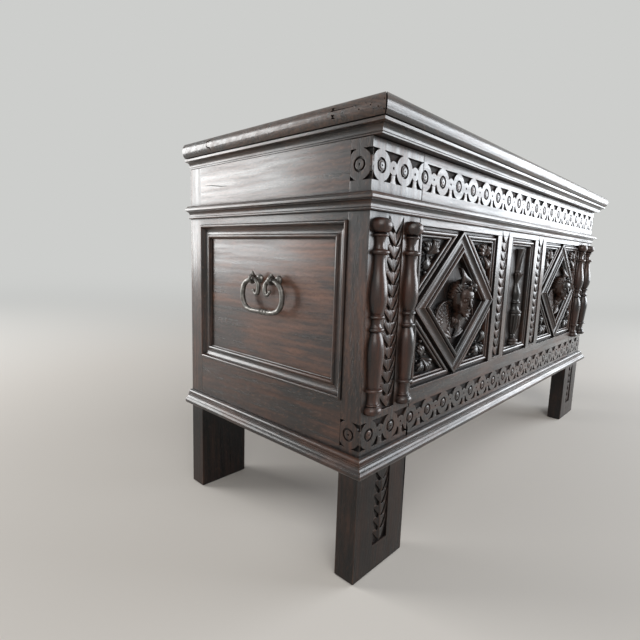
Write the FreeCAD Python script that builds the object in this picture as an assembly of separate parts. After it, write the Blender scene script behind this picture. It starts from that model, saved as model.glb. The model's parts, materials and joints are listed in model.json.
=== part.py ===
"""Carved oak cassone on four legs, with a hinged lid and two swinging iron bail handles.

Millimetres, +Z up, front towards -Y. The origin is at the middle of the footprint, on the floor.
"""
import FreeCAD, Part
import os
from math import cos, radians, sin

os.makedirs("parts", exist_ok=True)
Vector = FreeCAD.Vector

# Carcass
body_length = 1318.0
body_depth = 506.0
carcass_height = 738.0
stile_thickness = 42.0
stile_width = 146.0
rear_stile_width = 124.0
rail_thickness = 34.0
rail_bottom = 200.0
panel_bottom = 321.0
panel_top = 617.0
centre_panel_width = 164.0
muntin_width = 88.0
foot_wear = 3.0

# Joints between the boards
tenon_thickness = 10.0
tenon_inset = 11.0
tenon_shoulder = 12.0
front_tenon_length = 46.0
end_tenon_length = 26.0
muntin_tenon_length = 24.0
muntin_shoulder = 16.0
joint_fit = 0.15
peg_radius = 4.0
peg_fit = 0.1
peg_depth = 32.0
base_peg_rise = 22.0
cut_overrun = 2.0

# Panels
panel_thickness = 11.0
panel_tongue = 9.0
panel_fit = 0.3
front_ground_depth = 14.0
end_ground_depth = 9.0
back_ground_depth = 12.0
bottom_board_count = 6
bottom_board_thickness = 16.0
bottom_board_lift = 12.0
bottom_board_groove = 9.0

# Mouldings on the carcass
mid_moulding_bottom = 630.0
mid_moulding_height = 28.0
mid_moulding_width = 14.5
base_moulding_bottom = 198.0
base_moulding_height = 36.0
base_moulding_width = 19.0
sight_moulding_width = 19.0
sight_moulding_height = 12.0
end_moulding_width = 30.0
end_moulding_height = 13.0
moulding_fit = 0.3

# Lozenges and carving
lozenge_band = 36.0
lozenge_height = 21.0
lozenge_fit = 0.5
guilloche_pitch = 63.4
guilloche_ring_radius = 24.0
guilloche_link_radius = 11.5
guilloche_depth = 4.0
guilloche_margin = 1.0
ring_groove_outer = 11.4
ring_groove_inner = 8.2
ring_groove_depth = 3.0
centre_dot_radius = 1.4
link_dot_radius = 1.8
upper_guilloche_height = 699.0
lower_guilloche_height = 266.0
guilloche_end_offset = 25.0
leaf_strip_width = 42.0
leaf_pitch = 21.6
leaf_notch_depth = 5.0
leaf_notch_height = 19.0
leaf_notch_width = 12.0
leaf_notch_foot = 4.0
leaf_strip_top = 624.0
leaf_strip_bottom = 302.0
muntin_strip_top = 612.0
muntin_strip_bottom = 327.0
leg_strip_top = 194.0
leg_strip_bottom = 52.0

# Split balusters
baluster_bottom = 302.0
baluster_height = 320.0
baluster_radius = 18.0
baluster_offset = 46.0

# Urn on the centre panel
urn_margin = 20.0
urn_radius = 20.8

# Winged heads in the lozenges
head_radius = 29.0
head_height = 38.0
head_lift = 12.0
head_rise = 4.0
hair_radius = 33.0
wing_length = 46.0
wing_radius = 18.0
wing_drop = 32.0
wing_spread = 44.0
wing_angle = 50.0
breast_radius = 22.0
breast_drop = 44.0

# Foliage in the corners of the lozenge panels
leaf_lobe_radius = 15.0
leaf_lobe_length = 24.0
foliage_inset = 37.0
foliage_lift = 2.0
foliage_spread = 90.0

# Lid
lid_gap = 0.8
lid_thickness = 29.0
lid_moulding_height = 21.0
lid_moulding_width = 15.0
lid_moulding_seat = 22.0
lid_front_extra = 16.0
lid_overhang = 20.0
lid_round = 6.0
lid_front_joint = 68.0
lid_rear_joint = 404.0
lid_tongue = 9.0
lid_tongue_thickness = 9.0
lid_batten_width = 40.0

# Lid hinges
hinge_spacing = 800.0
hinge_width = 66.0
hinge_plate_thickness = 2.5
hinge_plate_height = 40.0
hinge_barrel_radius = 5.2
hinge_barrel_stand = 0.4
hinge_pin_radius = 2.5
hinge_pin_fit = 0.1
hinge_barrel_gap = 0.4
hinge_pin_head = 2.0
hinge_root_gap = 1.4

# Bail handles
handle_from_front = 241.0
handle_rise = 41.0
handle_eye_spacing = 55.0
handle_stand = 19.0
eye_radius = 9.5
eye_length = 6.0
eye_shank_radius = 3.6
dome_radius = 9.0
dome_height = 6.0
dome_fit = 0.1
rivet_radius = 6.5
rivet_thickness = 2.5
bail_radius = 3.8
bail_fit = 0.5
bail_outer_width = 126.0
bail_drop = 61.0
bail_shoulder = 27.0
bail_corner = 33.0
bail_eye_run = 4.0
bail_curl = 9.0
bail_tip_drop = 8.0
bail_tip_radius = 5.4
grip_ring_radius = 6.0
grip_ring_width = 4.0
grip_ring_pitch = 8.5

# Profiles as shares of a moulding's width and height; four numbers are an arc's middle and end
mid_profile_shares = [
    (0, 0), (0.24, 0), (0.36, 0.09, 0.27, 0.19), (0.27, 0.24), (0.36, 0.46, 0.68, 0.55),
    (0.68, 0.6), (0.94, 0.6), (1, 0.64), (1, 0.79), (0.82, 0.82), (0.66, 0.95, 0.3, 1), (0, 1)]
base_profile_shares = [
    (0, 0), (0.1, 0), (0.8, 0.16), (1, 0.3, 0.92, 0.46), (0.86, 0.5), (0.7, 0.58, 0.62, 0.72),
    (0.54, 0.72), (0.54, 0.8), (0.46, 0.8), (0.42, 0.94, 0.12, 1), (0, 1)]
lid_profile_shares = [
    (0.02, 0), (0.02, 0.14), (0.14, 0.14), (0.28, 0.5, 0.78, 0.62), (0.92, 0.68), (0.92, 0.9),
    (0.7, 0.9), (0.7, 1)]
sight_profile_shares = [
    (0, 0), (0, 0.62), (0.2, 1, 0.42, 0.6), (0.46, 0.42), (0.64, 0.76, 0.84, 0.42),
    (0.86, 0.26), (1, 0.2), (1, 0)]
end_profile_shares = [
    (0, 0), (0, 0.8), (0.1, 1, 0.22, 0.84), (0.24, 0.66), (0.4, 0.36, 0.68, 0.3),
    (0.7, 0.42), (0.82, 0.54, 0.93, 0.36), (0.95, 0.16), (1, 0.12), (1, 0)]
lozenge_profile_shares = [
    (0, 0), (0, 0.66), (0.04, 0.66), (0.07, 0.72), (0.3, 0.76, 0.6, 0.94), (0.64, 1),
    (0.7, 1), (0.72, 0.82), (0.77, 0.82), (0.83, 0.92, 0.9, 0.8), (0.92, 0.66), (1, 0.6), (1, 0)]

# Turned profiles as shares of height from the bottom and of the largest radius
baluster_shares = [
    (0, 0), (0, 0.62), (0.03, 1, 0.058, 0.62), (0.06, 0.5), (0.072, 0.58), (0.1, 0.5, 0.13, 0.62),
    (0.136, 0.84), (0.146, 0.9, 0.156, 0.8), (0.16, 0.64), (0.27, 0.68), (0.35, 0.86, 0.41, 0.86),
    (0.44, 0.72, 0.452, 0.62), (0.456, 0.74), (0.467, 0.8, 0.478, 0.7), (0.482, 0.56),
    (0.5, 0.5, 0.522, 0.6), (0.526, 0.76), (0.536, 0.8, 0.546, 0.7), (0.55, 0.6),
    (0.6, 0.88, 0.66, 0.84), (0.74, 0.7, 0.818, 0.66), (0.822, 0.82), (0.834, 0.86, 0.846, 0.74),
    (0.85, 0.58), (0.875, 0.52, 0.9, 0.6), (0.904, 0.76), (0.911, 0.8, 0.918, 0.7), (0.92, 0.62),
    (0.958, 1, 0.998, 0.3), (1, 0)]
urn_shares = [
    (0, 0), (0, 0.62), (0.03, 0.66, 0.05, 0.4), (0.08, 0.24), (0.115, 0.52, 0.15, 0.24), (0.17, 0.24),
    (0.24, 0.86, 0.34, 0.94), (0.36, 0.8), (0.375, 1), (0.39, 1), (0.4, 0.62), (0.43, 0.4),
    (0.46, 0.62), (0.48, 0.62), (0.5, 0.3), (0.56, 0.18), (0.6, 0.26), (0.63, 0.5, 0.66, 0.26),
    (0.68, 0.2), (0.78, 0.44, 0.9, 0.34), (1, 0)]

# Each leaf lobe: its share of the spread and how far out of the corner its middle lies
lobe_shares = [(0, 0.62), (0.5, 0.3), (1, 0.62)]
# A round corner's middle, as a share of its radius
diagonal_share = cos(radians(45))

half_length = body_length / 2
side_panel_width = (body_length - centre_panel_width) / 2 - stile_width - muntin_width
handle_height = (panel_top + panel_bottom) / 2 + handle_rise
rear_reach = hinge_barrel_stand + hinge_barrel_radius + hinge_barrel_radius
front_reach = lid_front_extra + lid_overhang
front_face = (front_reach - rear_reach - body_depth) / 2
back_face = front_face + body_depth
hinge_y = back_face + hinge_barrel_stand + hinge_barrel_radius
hinge_z = carcass_height + lid_gap / 2
lid_moulding_bottom = carcass_height + lid_gap
lid_bottom = lid_moulding_bottom + lid_moulding_height
lid_top = lid_bottom + lid_thickness
front_inner_left = side_panel_width + stile_width
centre_left = front_inner_left + muntin_width
bottom_board_base = rail_bottom + bottom_board_lift
mid_peg_height = mid_moulding_bottom + mid_moulding_height / 2
base_peg_height = base_moulding_bottom + base_peg_rise
sides = {"left": -1, "right": 1}
up = Vector(0, 0, 1)

parts = {}


def box(x0, x1, y0, y1, z0, z1):
    """A block between two corners."""
    return Part.makeBox(x1 - x0, y1 - y0, z1 - z0, Vector(x0, y0, z0))


def grown(bounds, gap):
    """The block a tenon or tongue needs: its own bounds with a gap all round."""
    x0, x1, y0, y1, z0, z1 = bounds
    return box(x0 - gap, x1 + gap, y0 - gap, y1 + gap, z0 - gap, z1 + gap)


def across(side, near, far):
    """The x range that lies from near to far inwards of one end face."""
    if side < 0:
        return -half_length + near, -half_length + far
    return half_length - far, half_length - near


def fused(shapes):
    """One solid from shapes that meet."""
    first = shapes[0]
    return first.multiFuse(shapes[1:]).removeSplitter() if len(shapes) > 1 else first


def cylinder(centre, axis, radius, length):
    """A round bar that starts at its centre point and runs along its axis."""
    return Part.makeCylinder(radius, length, centre, axis)


def export(node, shape):
    """Write one node, after its solid has been checked."""
    if not shape.isValid():
        print("invalid shape in", node)
    parts[node] = shape
    shape.exportStep(os.path.join("parts", node + ".step"))


class Plane:
    """A flat work plane: places (a, b) on it and a height above it."""

    def __init__(self, origin, along, across_it):
        self.origin = origin
        self.along = along
        self.across = across_it
        self.normal = along.cross(across_it)

    def at(self, a, b, height=0):
        return self.origin + self.along * a + self.across * b + self.normal * height


def outline(points, place):
    """A closed face through points: pairs are lines, four numbers an arc's middle and end."""
    edges = []
    start = place(points[0][0], points[0][1])
    last = start
    for point in points[1:]:
        end = place(point[-2], point[-1])
        if len(point) == 4:
            edges.append(Part.Arc(last, place(point[0], point[1]), end).toShape())
        else:
            edges.append(Part.makeLine(last, end))
        last = end
    edges.append(Part.makeLine(last, start))
    return Part.Face(Part.Wire(edges))


def scaled(shares, width, height):
    """Shares turned to sizes: even places follow the width and odd ones the height."""
    return [tuple(value * (height if i % 2 else width) for i, value in enumerate(point)) for point in shares]


def unit(a, b):
    """The direction from one place on a plane to the next, with the distance between them."""
    length = ((b[0] - a[0]) ** 2 + (b[1] - a[1]) ** 2) ** 0.5
    return (b[0] - a[0]) / length, (b[1] - a[1]) / length, length


def mitre_at(before, here, after):
    """How far a mitred corner moves for each unit of offset to the left of the path."""
    ax, ay = unit(before or here, here if before else after)[:2]
    bx, by = unit(here if after else before, after or here)[:2]
    turn = 1 + ax * bx + ay * by
    return -(ay + by) / turn, (ax + bx) / turn


def mitred_sticks(plane, corners, closed, profile):
    """Moulding sticks along a path, mitred at its corners; the profile grows to the path's left."""
    count = len(corners)
    widths = [value for point in profile for value in point[0::2]]
    heights = [value for point in profile for value in point[1::2]]
    low = min(widths) - cut_overrun
    high = max(widths) + cut_overrun
    sticks = []
    for i in range(count if closed else count - 1):
        here = corners[i]
        after = corners[(i + 1) % count]
        before = corners[i - 1] if closed or i > 0 else None
        beyond = corners[(i + 2) % count] if closed or i + 2 < count else None
        ux, uy, length = unit(here, after)
        first = mitre_at(before, here, after)
        last = mitre_at(here, after, beyond)
        spread = max(abs(low), abs(high)) * max(abs(value) for value in first + last) + cut_overrun

        def on_profile(d, h):
            return plane.at(here[0] - uy * d - ux * spread, here[1] + ux * d - uy * spread, h)

        direction = plane.along * ux + plane.across * uy
        stick = outline(profile, on_profile).extrude(direction * (length + spread + spread))
        ends = [
            (here[0] + first[0] * low, here[1] + first[1] * low),
            (after[0] + last[0] * low, after[1] + last[1] * low),
            (after[0] + last[0] * high, after[1] + last[1] * high),
            (here[0] + first[0] * high, here[1] + first[1] * high)]
        floor = min(heights) - cut_overrun
        depth = max(heights) - floor + cut_overrun
        mitre = outline(ends, lambda a, b: plane.at(a, b, floor)).extrude(plane.normal * depth)
        sticks.append(stick.common(mitre))
    return sticks


def half_turning(foot, height, radius, shares):
    """An upright turning split down its middle, with its flat back towards +Y."""
    points = scaled(shares, height, radius)
    face = outline(points, lambda h, r: foot + up * h + Vector(r, 0, 0))
    return face.revolve(foot, up, -180)


def spheroid(centre, axis, length, radius):
    """An egg shape about an axis, with its half length and its radius."""
    arc = Part.Arc(Vector(0, 0, radius), Vector(radius, 0, 0), Vector(0, 0, -radius)).toShape()
    matrix = FreeCAD.Matrix()
    matrix.scale(1, 1, length / radius)
    edge = arc.transformGeometry(matrix)
    chord = Part.makeLine(Vector(0, 0, -length), Vector(0, 0, length))
    egg = Part.Face(Part.Wire([edge, chord])).revolve(Vector(0, 0, 0), up, 360)
    egg.Placement = FreeCAD.Placement(centre, FreeCAD.Rotation(up, axis))
    return egg


def front_plane(depth):
    """A plane that looks out of the front, with places in x and z."""
    return Plane(Vector(0, front_face + depth, 0), Vector(1, 0, 0), up)


def end_plane(side, depth):
    """A plane that looks out of one end, with its first place along y and its second in z."""
    if side < 0:
        return Plane(Vector(-half_length + depth, 0, 0), Vector(0, -1, 0), up)
    return Plane(Vector(half_length - depth, 0, 0), Vector(0, 1, 0), up)


def rail_bounds():
    """Bounds of each rail and muntin, without tenons."""
    levels = {"bottom": (rail_bottom, panel_bottom), "top": (panel_top, carcass_height)}
    bounds = {}
    for level, (z0, z1) in levels.items():
        bounds["front_" + level + "_rail"] = (
            -half_length + stile_width, half_length - stile_width,
            front_face, front_face + rail_thickness, z0, z1)
        bounds["back_" + level + "_rail"] = (
            -half_length + rear_stile_width, half_length - rear_stile_width,
            back_face - rail_thickness, back_face, z0, z1)
        for name, side in sides.items():
            x0, x1 = across(side, 0, rail_thickness)
            bounds["end_" + level + "_rail_" + name] = (
                x0, x1, front_face + stile_thickness, back_face - stile_thickness, z0, z1)
    for name, side in sides.items():
        x0, x1 = across(side, front_inner_left, centre_left)
        bounds["muntin_" + name] = (
            x0, x1, front_face, front_face + rail_thickness, panel_bottom, panel_top)
    bounds["back_muntin"] = (
        -muntin_width / 2, muntin_width / 2, back_face - rail_thickness, back_face,
        panel_bottom, panel_top)
    return bounds


def tenon_bounds(name, bounds):
    """The two tenons of one rail or muntin."""
    x0, x1, y0, y1, z0, z1 = bounds
    z_low = z0 + tenon_shoulder
    z_high = z1 - tenon_shoulder
    if name.startswith("end_"):
        side = sides[name.split("_")[-1]]
        tx0, tx1 = across(side, tenon_inset, tenon_inset + tenon_thickness)
        return [
            (tx0, tx1, y0 - end_tenon_length, y0, z_low, z_high),
            (tx0, tx1, y1, y1 + end_tenon_length, z_low, z_high)]
    if name.startswith("front_") or name.startswith("muntin"):
        ty0 = front_face + tenon_inset
    else:
        ty0 = back_face - tenon_inset - tenon_thickness
    ty1 = ty0 + tenon_thickness
    if "muntin" in name:
        return [
            (x0 + muntin_shoulder, x1 - muntin_shoulder, ty0, ty1, z0 - muntin_tenon_length, z0),
            (x0 + muntin_shoulder, x1 - muntin_shoulder, ty0, ty1, z1, z1 + muntin_tenon_length)]
    return [
        (x0 - front_tenon_length, x0, ty0, ty1, z_low, z_high),
        (x1, x1 + front_tenon_length, ty0, ty1, z_low, z_high)]


def panel_bounds():
    """Bounds of each grooved panel, with its tongues."""
    z0 = panel_bottom - panel_tongue
    z1 = panel_top + panel_tongue
    front_y0 = front_face + front_ground_depth
    back_y1 = back_face - back_ground_depth
    bounds = {}
    for name, side in sides.items():
        x0, x1 = across(side, stile_width - panel_tongue, front_inner_left + panel_tongue)
        bounds["front_panel_" + name] = (x0, x1, front_y0, front_y0 + panel_thickness, z0, z1)
        x0, x1 = across(side, end_ground_depth, end_ground_depth + panel_thickness)
        bounds["end_panel_" + name] = (
            x0, x1, front_face + stile_thickness - panel_tongue,
            back_face - stile_thickness + panel_tongue, z0, z1)
        x0, x1 = across(side, rear_stile_width - panel_tongue, half_length - muntin_width / 2 + panel_tongue)
        bounds["back_panel_" + name] = (x0, x1, back_y1 - panel_thickness, back_y1, z0, z1)
    bounds["front_panel_centre"] = (
        -half_length + centre_left - panel_tongue, half_length - centre_left + panel_tongue,
        front_y0, front_y0 + panel_thickness, z0, z1)
    return bounds


def stile_bounds():
    """Bounds of the four stiles, which run to the floor as legs."""
    bounds = {}
    for name, side in sides.items():
        x0, x1 = across(side, 0, stile_width)
        bounds["stile_front_" + name] = (
            x0, x1, front_face, front_face + stile_thickness, 0, carcass_height)
        x0, x1 = across(side, 0, rear_stile_width)
        bounds["stile_rear_" + name] = (
            x0, x1, back_face - stile_thickness, back_face, 0, carcass_height)
    return bounds


def pegs():
    """Draw-bore pegs, which start flush at the outer face and stop inside the stile."""
    made = []
    for side in sides.values():
        for z in (base_peg_height, mid_peg_height):
            end_x = side * half_length
            inwards = Vector(-side, 0, 0)
            for x_in, y, axis in (
                    (stile_width - front_tenon_length / 2, front_face, Vector(0, 1, 0)),
                    (rear_stile_width - front_tenon_length / 2, back_face, Vector(0, -1, 0))):
                made.append((Vector(side * (half_length - x_in), y, z), axis))
            for y in (front_face + stile_thickness - end_tenon_length / 2,
                      back_face - stile_thickness + end_tenon_length / 2):
                made.append((Vector(end_x, y, z), inwards))
    return made


def disc_row(plane, centres, height):
    """The standing discs of a guilloche: a large ring at each centre and a small link between."""
    discs = []
    for a in centres:
        discs.append(cylinder(plane.at(a, height, -guilloche_depth), plane.normal,
                              guilloche_ring_radius, guilloche_depth + cut_overrun))
    for a, b in zip(centres, centres[1:]):
        discs.append(cylinder(plane.at((a + b) / 2, height, -guilloche_depth), plane.normal,
                              guilloche_link_radius, guilloche_depth + cut_overrun))
    return discs


def guilloche_cut(plane, centres, height, first, last):
    """What is carved away to leave one row of rings between two places on a plane."""
    low = height - guilloche_ring_radius + guilloche_margin
    high = height + guilloche_ring_radius - guilloche_margin
    ground = outline([(first, low), (last, low), (last, high), (first, high)],
                     lambda a, b: plane.at(a, b, -guilloche_depth))
    field = ground.extrude(plane.normal * (guilloche_depth + cut_overrun))
    cuts = [field.cut(Part.makeCompound(disc_row(plane, centres, height)))]
    for a in centres:
        foot = plane.at(a, height, -ring_groove_depth)
        reach = ring_groove_depth + cut_overrun
        groove = cylinder(foot, plane.normal, ring_groove_outer, reach)
        cuts.append(groove.cut(cylinder(foot, plane.normal, ring_groove_inner, reach)))
        cuts.append(cylinder(foot, plane.normal, centre_dot_radius, reach))
    for a, b in zip(centres, centres[1:]):
        foot = plane.at((a + b) / 2, height, -ring_groove_depth)
        cuts.append(cylinder(foot, plane.normal, link_dot_radius, ring_groove_depth + cut_overrun))
    return Part.makeCompound(cuts)


def guilloche_cuts():
    """The carved rows on the front and the single ring that each row turns onto the ends."""
    span = body_length - guilloche_end_offset - guilloche_end_offset
    gaps = round(span / guilloche_pitch)
    step = span / gaps
    centres = [-span / 2 + step * i for i in range(gaps + 1)]
    cuts = []
    for height in (upper_guilloche_height, lower_guilloche_height):
        cuts.append(guilloche_cut(front_plane(0), centres, height, -half_length, half_length))
        for side in sides.values():
            plane = end_plane(side, 0)
            corner = plane.along.y * front_face
            inwards = plane.along.y
            centre = corner + inwards * guilloche_ring_radius
            first, last = sorted((corner, corner + inwards * stile_thickness))
            cuts.append(guilloche_cut(plane, [centre], height, first, last))
    return cuts


def leaf_cut(centre_x, bottom, top):
    """Notches down both sides of a strip, which leave a stem of overlapping leaves."""
    plane = front_plane(0)
    count = int((top - bottom) / leaf_pitch)
    step = (top - bottom) / count
    notches = []
    for i in range(count):
        tip = bottom + step * i
        for hand in (-1, 1):
            edge = centre_x + hand * leaf_strip_width / 2
            inner = edge - hand * leaf_notch_width
            foot = edge - hand * leaf_notch_foot
            notch = outline(
                [(edge, tip + leaf_notch_foot), (foot, tip), (inner, tip),
                 (foot, tip + leaf_notch_height), (edge, tip + leaf_notch_height)],
                lambda a, b: plane.at(a, b, -leaf_notch_depth))
            notches.append(notch.extrude(plane.normal * (leaf_notch_depth + cut_overrun)))
    return Part.makeCompound(notches)


def build_frame():
    """Stiles, rails, muntins, panels and pegs, each cut for what it holds."""
    rails = rail_bounds()
    panels = panel_bounds()
    stiles = stile_bounds()
    tenons = {name: tenon_bounds(name, bounds) for name, bounds in rails.items()}
    boards = bottom_board_bounds()
    peg_holes = [cylinder(place - axis * cut_overrun, axis, peg_radius + peg_fit, peg_depth + cut_overrun)
                 for place, axis in pegs()]
    carving = guilloche_cuts()
    strip_x = half_length - stile_width / 2
    muntin_x = half_length - front_inner_left - muntin_width / 2
    carving_on = {}
    for name, side in sides.items():
        carving_on["stile_front_" + name] = carving + [
            leaf_cut(side * strip_x, leaf_strip_bottom, leaf_strip_top),
            leaf_cut(side * strip_x, leg_strip_bottom, leg_strip_top)]
        carving_on["muntin_" + name] = [leaf_cut(side * muntin_x, muntin_strip_bottom, muntin_strip_top)]
    carving_on["front_top_rail"] = carving
    carving_on["front_bottom_rail"] = carving
    shapes = {}
    for name, bounds in rails.items():
        shapes[name] = fused([box(*bounds)] + [box(*tenon) for tenon in tenons[name]])
    for name, bounds in stiles.items():
        shapes[name] = worn_foot(box(*bounds), bounds)
    for name, shape in shapes.items():
        seats = [grown(bounds, panel_fit) for bounds in panels.values()]
        if "bottom_rail" in name:
            seats.append(grown(board_slot(boards), panel_fit))
        for other, pair in tenons.items():
            if other != name:
                seats += [grown(tenon, joint_fit) for tenon in pair]
        seats += peg_holes
        seats = [seat for seat in seats if seat.BoundBox.intersect(shape.BoundBox)]
        cut = shape.cut(seats) if seats else shape
        for carved in carving_on.get(name, []):
            if carved.BoundBox.intersect(cut.BoundBox):
                cut = cut.cut(carved)
        export(name, largest(cut))
    rivets = rivet_holes()
    for name, bounds in panels.items():
        panel = box(*bounds)
        if name.startswith("end_panel"):
            panel = panel.cut(rivets)
        export(name, panel)
    solids = [cylinder(place, axis, peg_radius, peg_depth) for place, axis in pegs()]
    export("draw_bore_pegs", Part.makeCompound(solids))


def largest(shape):
    """The main solid of a cut, without loose crumbs."""
    return max(shape.Solids, key=lambda solid: solid.Volume)


def worn_foot(shape, bounds):
    """A stile with its arrises worn at the floor."""
    x0, x1, y0, y1, z0, z1 = bounds
    edges = [edge for edge in shape.Edges if edge.BoundBox.ZMax < z0 + foot_wear]
    return shape.makeChamfer(foot_wear, edges)


def bottom_board_bounds():
    """Bounds of the bottom boards, which run from front to back in grooves."""
    inner = half_length - rail_thickness - panel_fit
    width = (inner + inner) / bottom_board_count
    y0 = front_face + rail_thickness - bottom_board_groove
    y1 = back_face - rail_thickness + bottom_board_groove
    z1 = bottom_board_base + bottom_board_thickness
    return [(-inner + width * i, -inner + width * (i + 1), y0, y1, bottom_board_base, z1)
            for i in range(bottom_board_count)]


def board_slot(boards):
    """The one long groove that takes all the bottom boards."""
    x0, x1, y0, y1, z0, z1 = boards[0]
    return x0, boards[-1][1], y0, y1, z0, z1


def build_bottom():
    """Bottom boards, notched round the stiles."""
    stiles = [grown(bounds, panel_fit) for bounds in stile_bounds().values()]
    ends = [grown(bounds, panel_fit) for name, bounds in rail_bounds().items()
            if name.startswith("end_bottom")]
    solids = []
    for bounds in bottom_board_bounds():
        x0, x1, y0, y1, z0, z1 = bounds
        board = box(x0, x1 - panel_fit, y0, y1, z0, z1)
        solids.append(largest(board.cut(stiles + ends)))
    export("bottom_boards", Part.makeCompound(solids))


def wrap_path():
    """Round the ends and front from the back right corner, so that outwards is to the left."""
    return [(half_length, back_face), (half_length, front_face),
            (-half_length, front_face), (-half_length, back_face)]


def build_outer_mouldings():
    """The middle and base mouldings on the front and ends."""
    runs = {
        "mid_moulding": (
            mid_moulding_bottom, mid_profile_shares, mid_moulding_width, mid_moulding_height),
        "base_moulding": (
            base_moulding_bottom, base_profile_shares, base_moulding_width, base_moulding_height)}
    for run, (bottom, shares, width, height) in runs.items():
        plane = Plane(Vector(0, 0, bottom), Vector(1, 0, 0), Vector(0, 1, 0))
        sticks = mitred_sticks(plane, wrap_path(), False, scaled(shares, width, height))
        for place, stick in zip(("right", "front", "left"), sticks):
            export(run + "_" + place, stick)


def lozenge_corners(centre_x):
    """The lozenge's four points, which touch the sight edges of its opening."""
    half_width = side_panel_width / 2 - lozenge_fit
    half_height = (panel_top - panel_bottom) / 2 - lozenge_fit
    centre_z = (panel_top + panel_bottom) / 2
    return [(centre_x + half_width, centre_z), (centre_x, centre_z + half_height),
            (centre_x - half_width, centre_z), (centre_x, centre_z - half_height)]


def spandrel_corners(centre_x, hand_x, hand_z):
    """The corner triangle between the lozenge and the opening's corner, counter-clockwise."""
    half_width = side_panel_width / 2
    half_height = (panel_top - panel_bottom) / 2
    centre_z = (panel_top + panel_bottom) / 2
    corner = (centre_x + hand_x * (half_width - moulding_fit),
              centre_z + hand_z * (half_height - moulding_fit))
    slant = half_height / half_width
    gap = moulding_fit * (1 + slant * slant) ** 0.5 + lozenge_fit
    beside = (corner[0], centre_z + hand_z * (moulding_fit * slant + gap))
    above = (centre_x + hand_x * (moulding_fit / slant + gap / slant), corner[1])
    if hand_x * hand_z > 0:
        return [corner, above, beside]
    return [corner, beside, above]


def before_ground(plane, centre_x):
    """The space in front of a panel's ground, round one side opening."""
    centre_z = (panel_top + panel_bottom) / 2
    reach = side_panel_width
    return box(centre_x - reach, centre_x + reach, plane.origin.y - reach, plane.origin.y,
               centre_z - reach, centre_z + reach)


def spandrel_window(plane, centre_x, hand_x, hand_z):
    """The clear space inside a corner's sight moulding, which its foliage has to fit."""
    corners = [Vector(x, 0, z) for x, z in spandrel_corners(centre_x, hand_x, hand_z)]
    lengths = [(corners[i - 1] - corners[i - 2]).Length for i in range(len(corners))]
    around = sum(lengths)
    middle = sum((corner * length for corner, length in zip(corners, lengths)), Vector()) / around
    doubled_area = (corners[1] - corners[0]).cross(corners[2] - corners[0]).Length
    clear_share = 1 - (sight_moulding_width + moulding_fit) * around / doubled_area
    inner = [middle + (corner - middle) * clear_share for corner in corners]
    return outline([(corner.x, corner.z) for corner in inner], plane.at).extrude(
        plane.normal * side_panel_width)


def foliage(plane, centre_x, hand_x, hand_z):
    """Three leaf lobes that fan out from the corner of the opening."""
    corner_x = centre_x + hand_x * (side_panel_width / 2 - foliage_inset)
    corner_z = (panel_top + panel_bottom) / 2 + hand_z * ((panel_top - panel_bottom) / 2 - foliage_inset)
    corner = plane.at(corner_x, corner_z, foliage_lift - leaf_lobe_radius / 2)
    lobes = []
    for spread_share, reach_share in lobe_shares:
        angle = radians(foliage_spread) * spread_share
        axis = Vector(-hand_x * cos(angle), 0, -hand_z * sin(angle))
        centre = corner + axis * (leaf_lobe_length * reach_share)
        lobes.append(spheroid(centre, axis, leaf_lobe_length, leaf_lobe_radius))
    return fused(lobes).common(spandrel_window(plane, centre_x, hand_x, hand_z))


def winged_head(plane, centre_x):
    """A winged head in half relief on the panel ground."""
    centre_z = (panel_top + panel_bottom) / 2
    face = plane.at(centre_x, centre_z + head_rise, head_lift)
    crown = plane.at(centre_x, centre_z + head_rise + head_lift, head_lift / 2)
    breast = plane.at(centre_x, centre_z - breast_drop, 0)
    solids = [
        spheroid(face, up, head_height, head_radius),
        spheroid(crown, up, hair_radius, hair_radius),
        spheroid(breast, up, breast_radius, breast_radius)]
    for hand in (-1, 1):
        angle = radians(wing_angle)
        axis = Vector(hand * cos(angle), 0, sin(angle))
        place = plane.at(centre_x + hand * wing_spread, centre_z - wing_drop, 0)
        solids.append(spheroid(place, axis, wing_length, wing_radius))
    return fused(solids).common(before_ground(plane, centre_x))


def lozenge_window(centre_x):
    """The clear space inside a lozenge's band, which the winged head has to fit."""
    plane = front_plane(front_ground_depth)
    corners = lozenge_corners(centre_x)
    half_width = corners[0][0] - centre_x
    half_height = corners[1][1] - corners[0][1]
    slope = (half_width ** 2 + half_height ** 2) ** 0.5
    inset = (lozenge_band + lozenge_fit) * slope
    inner = [
        (centre_x + half_width - inset / half_height, corners[0][1]),
        (centre_x, corners[1][1] - inset / half_width),
        (centre_x - half_width + inset / half_height, corners[0][1]),
        (centre_x, corners[3][1] + inset / half_width)]
    return outline(inner, plane.at).extrude(plane.normal * side_panel_width)


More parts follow.
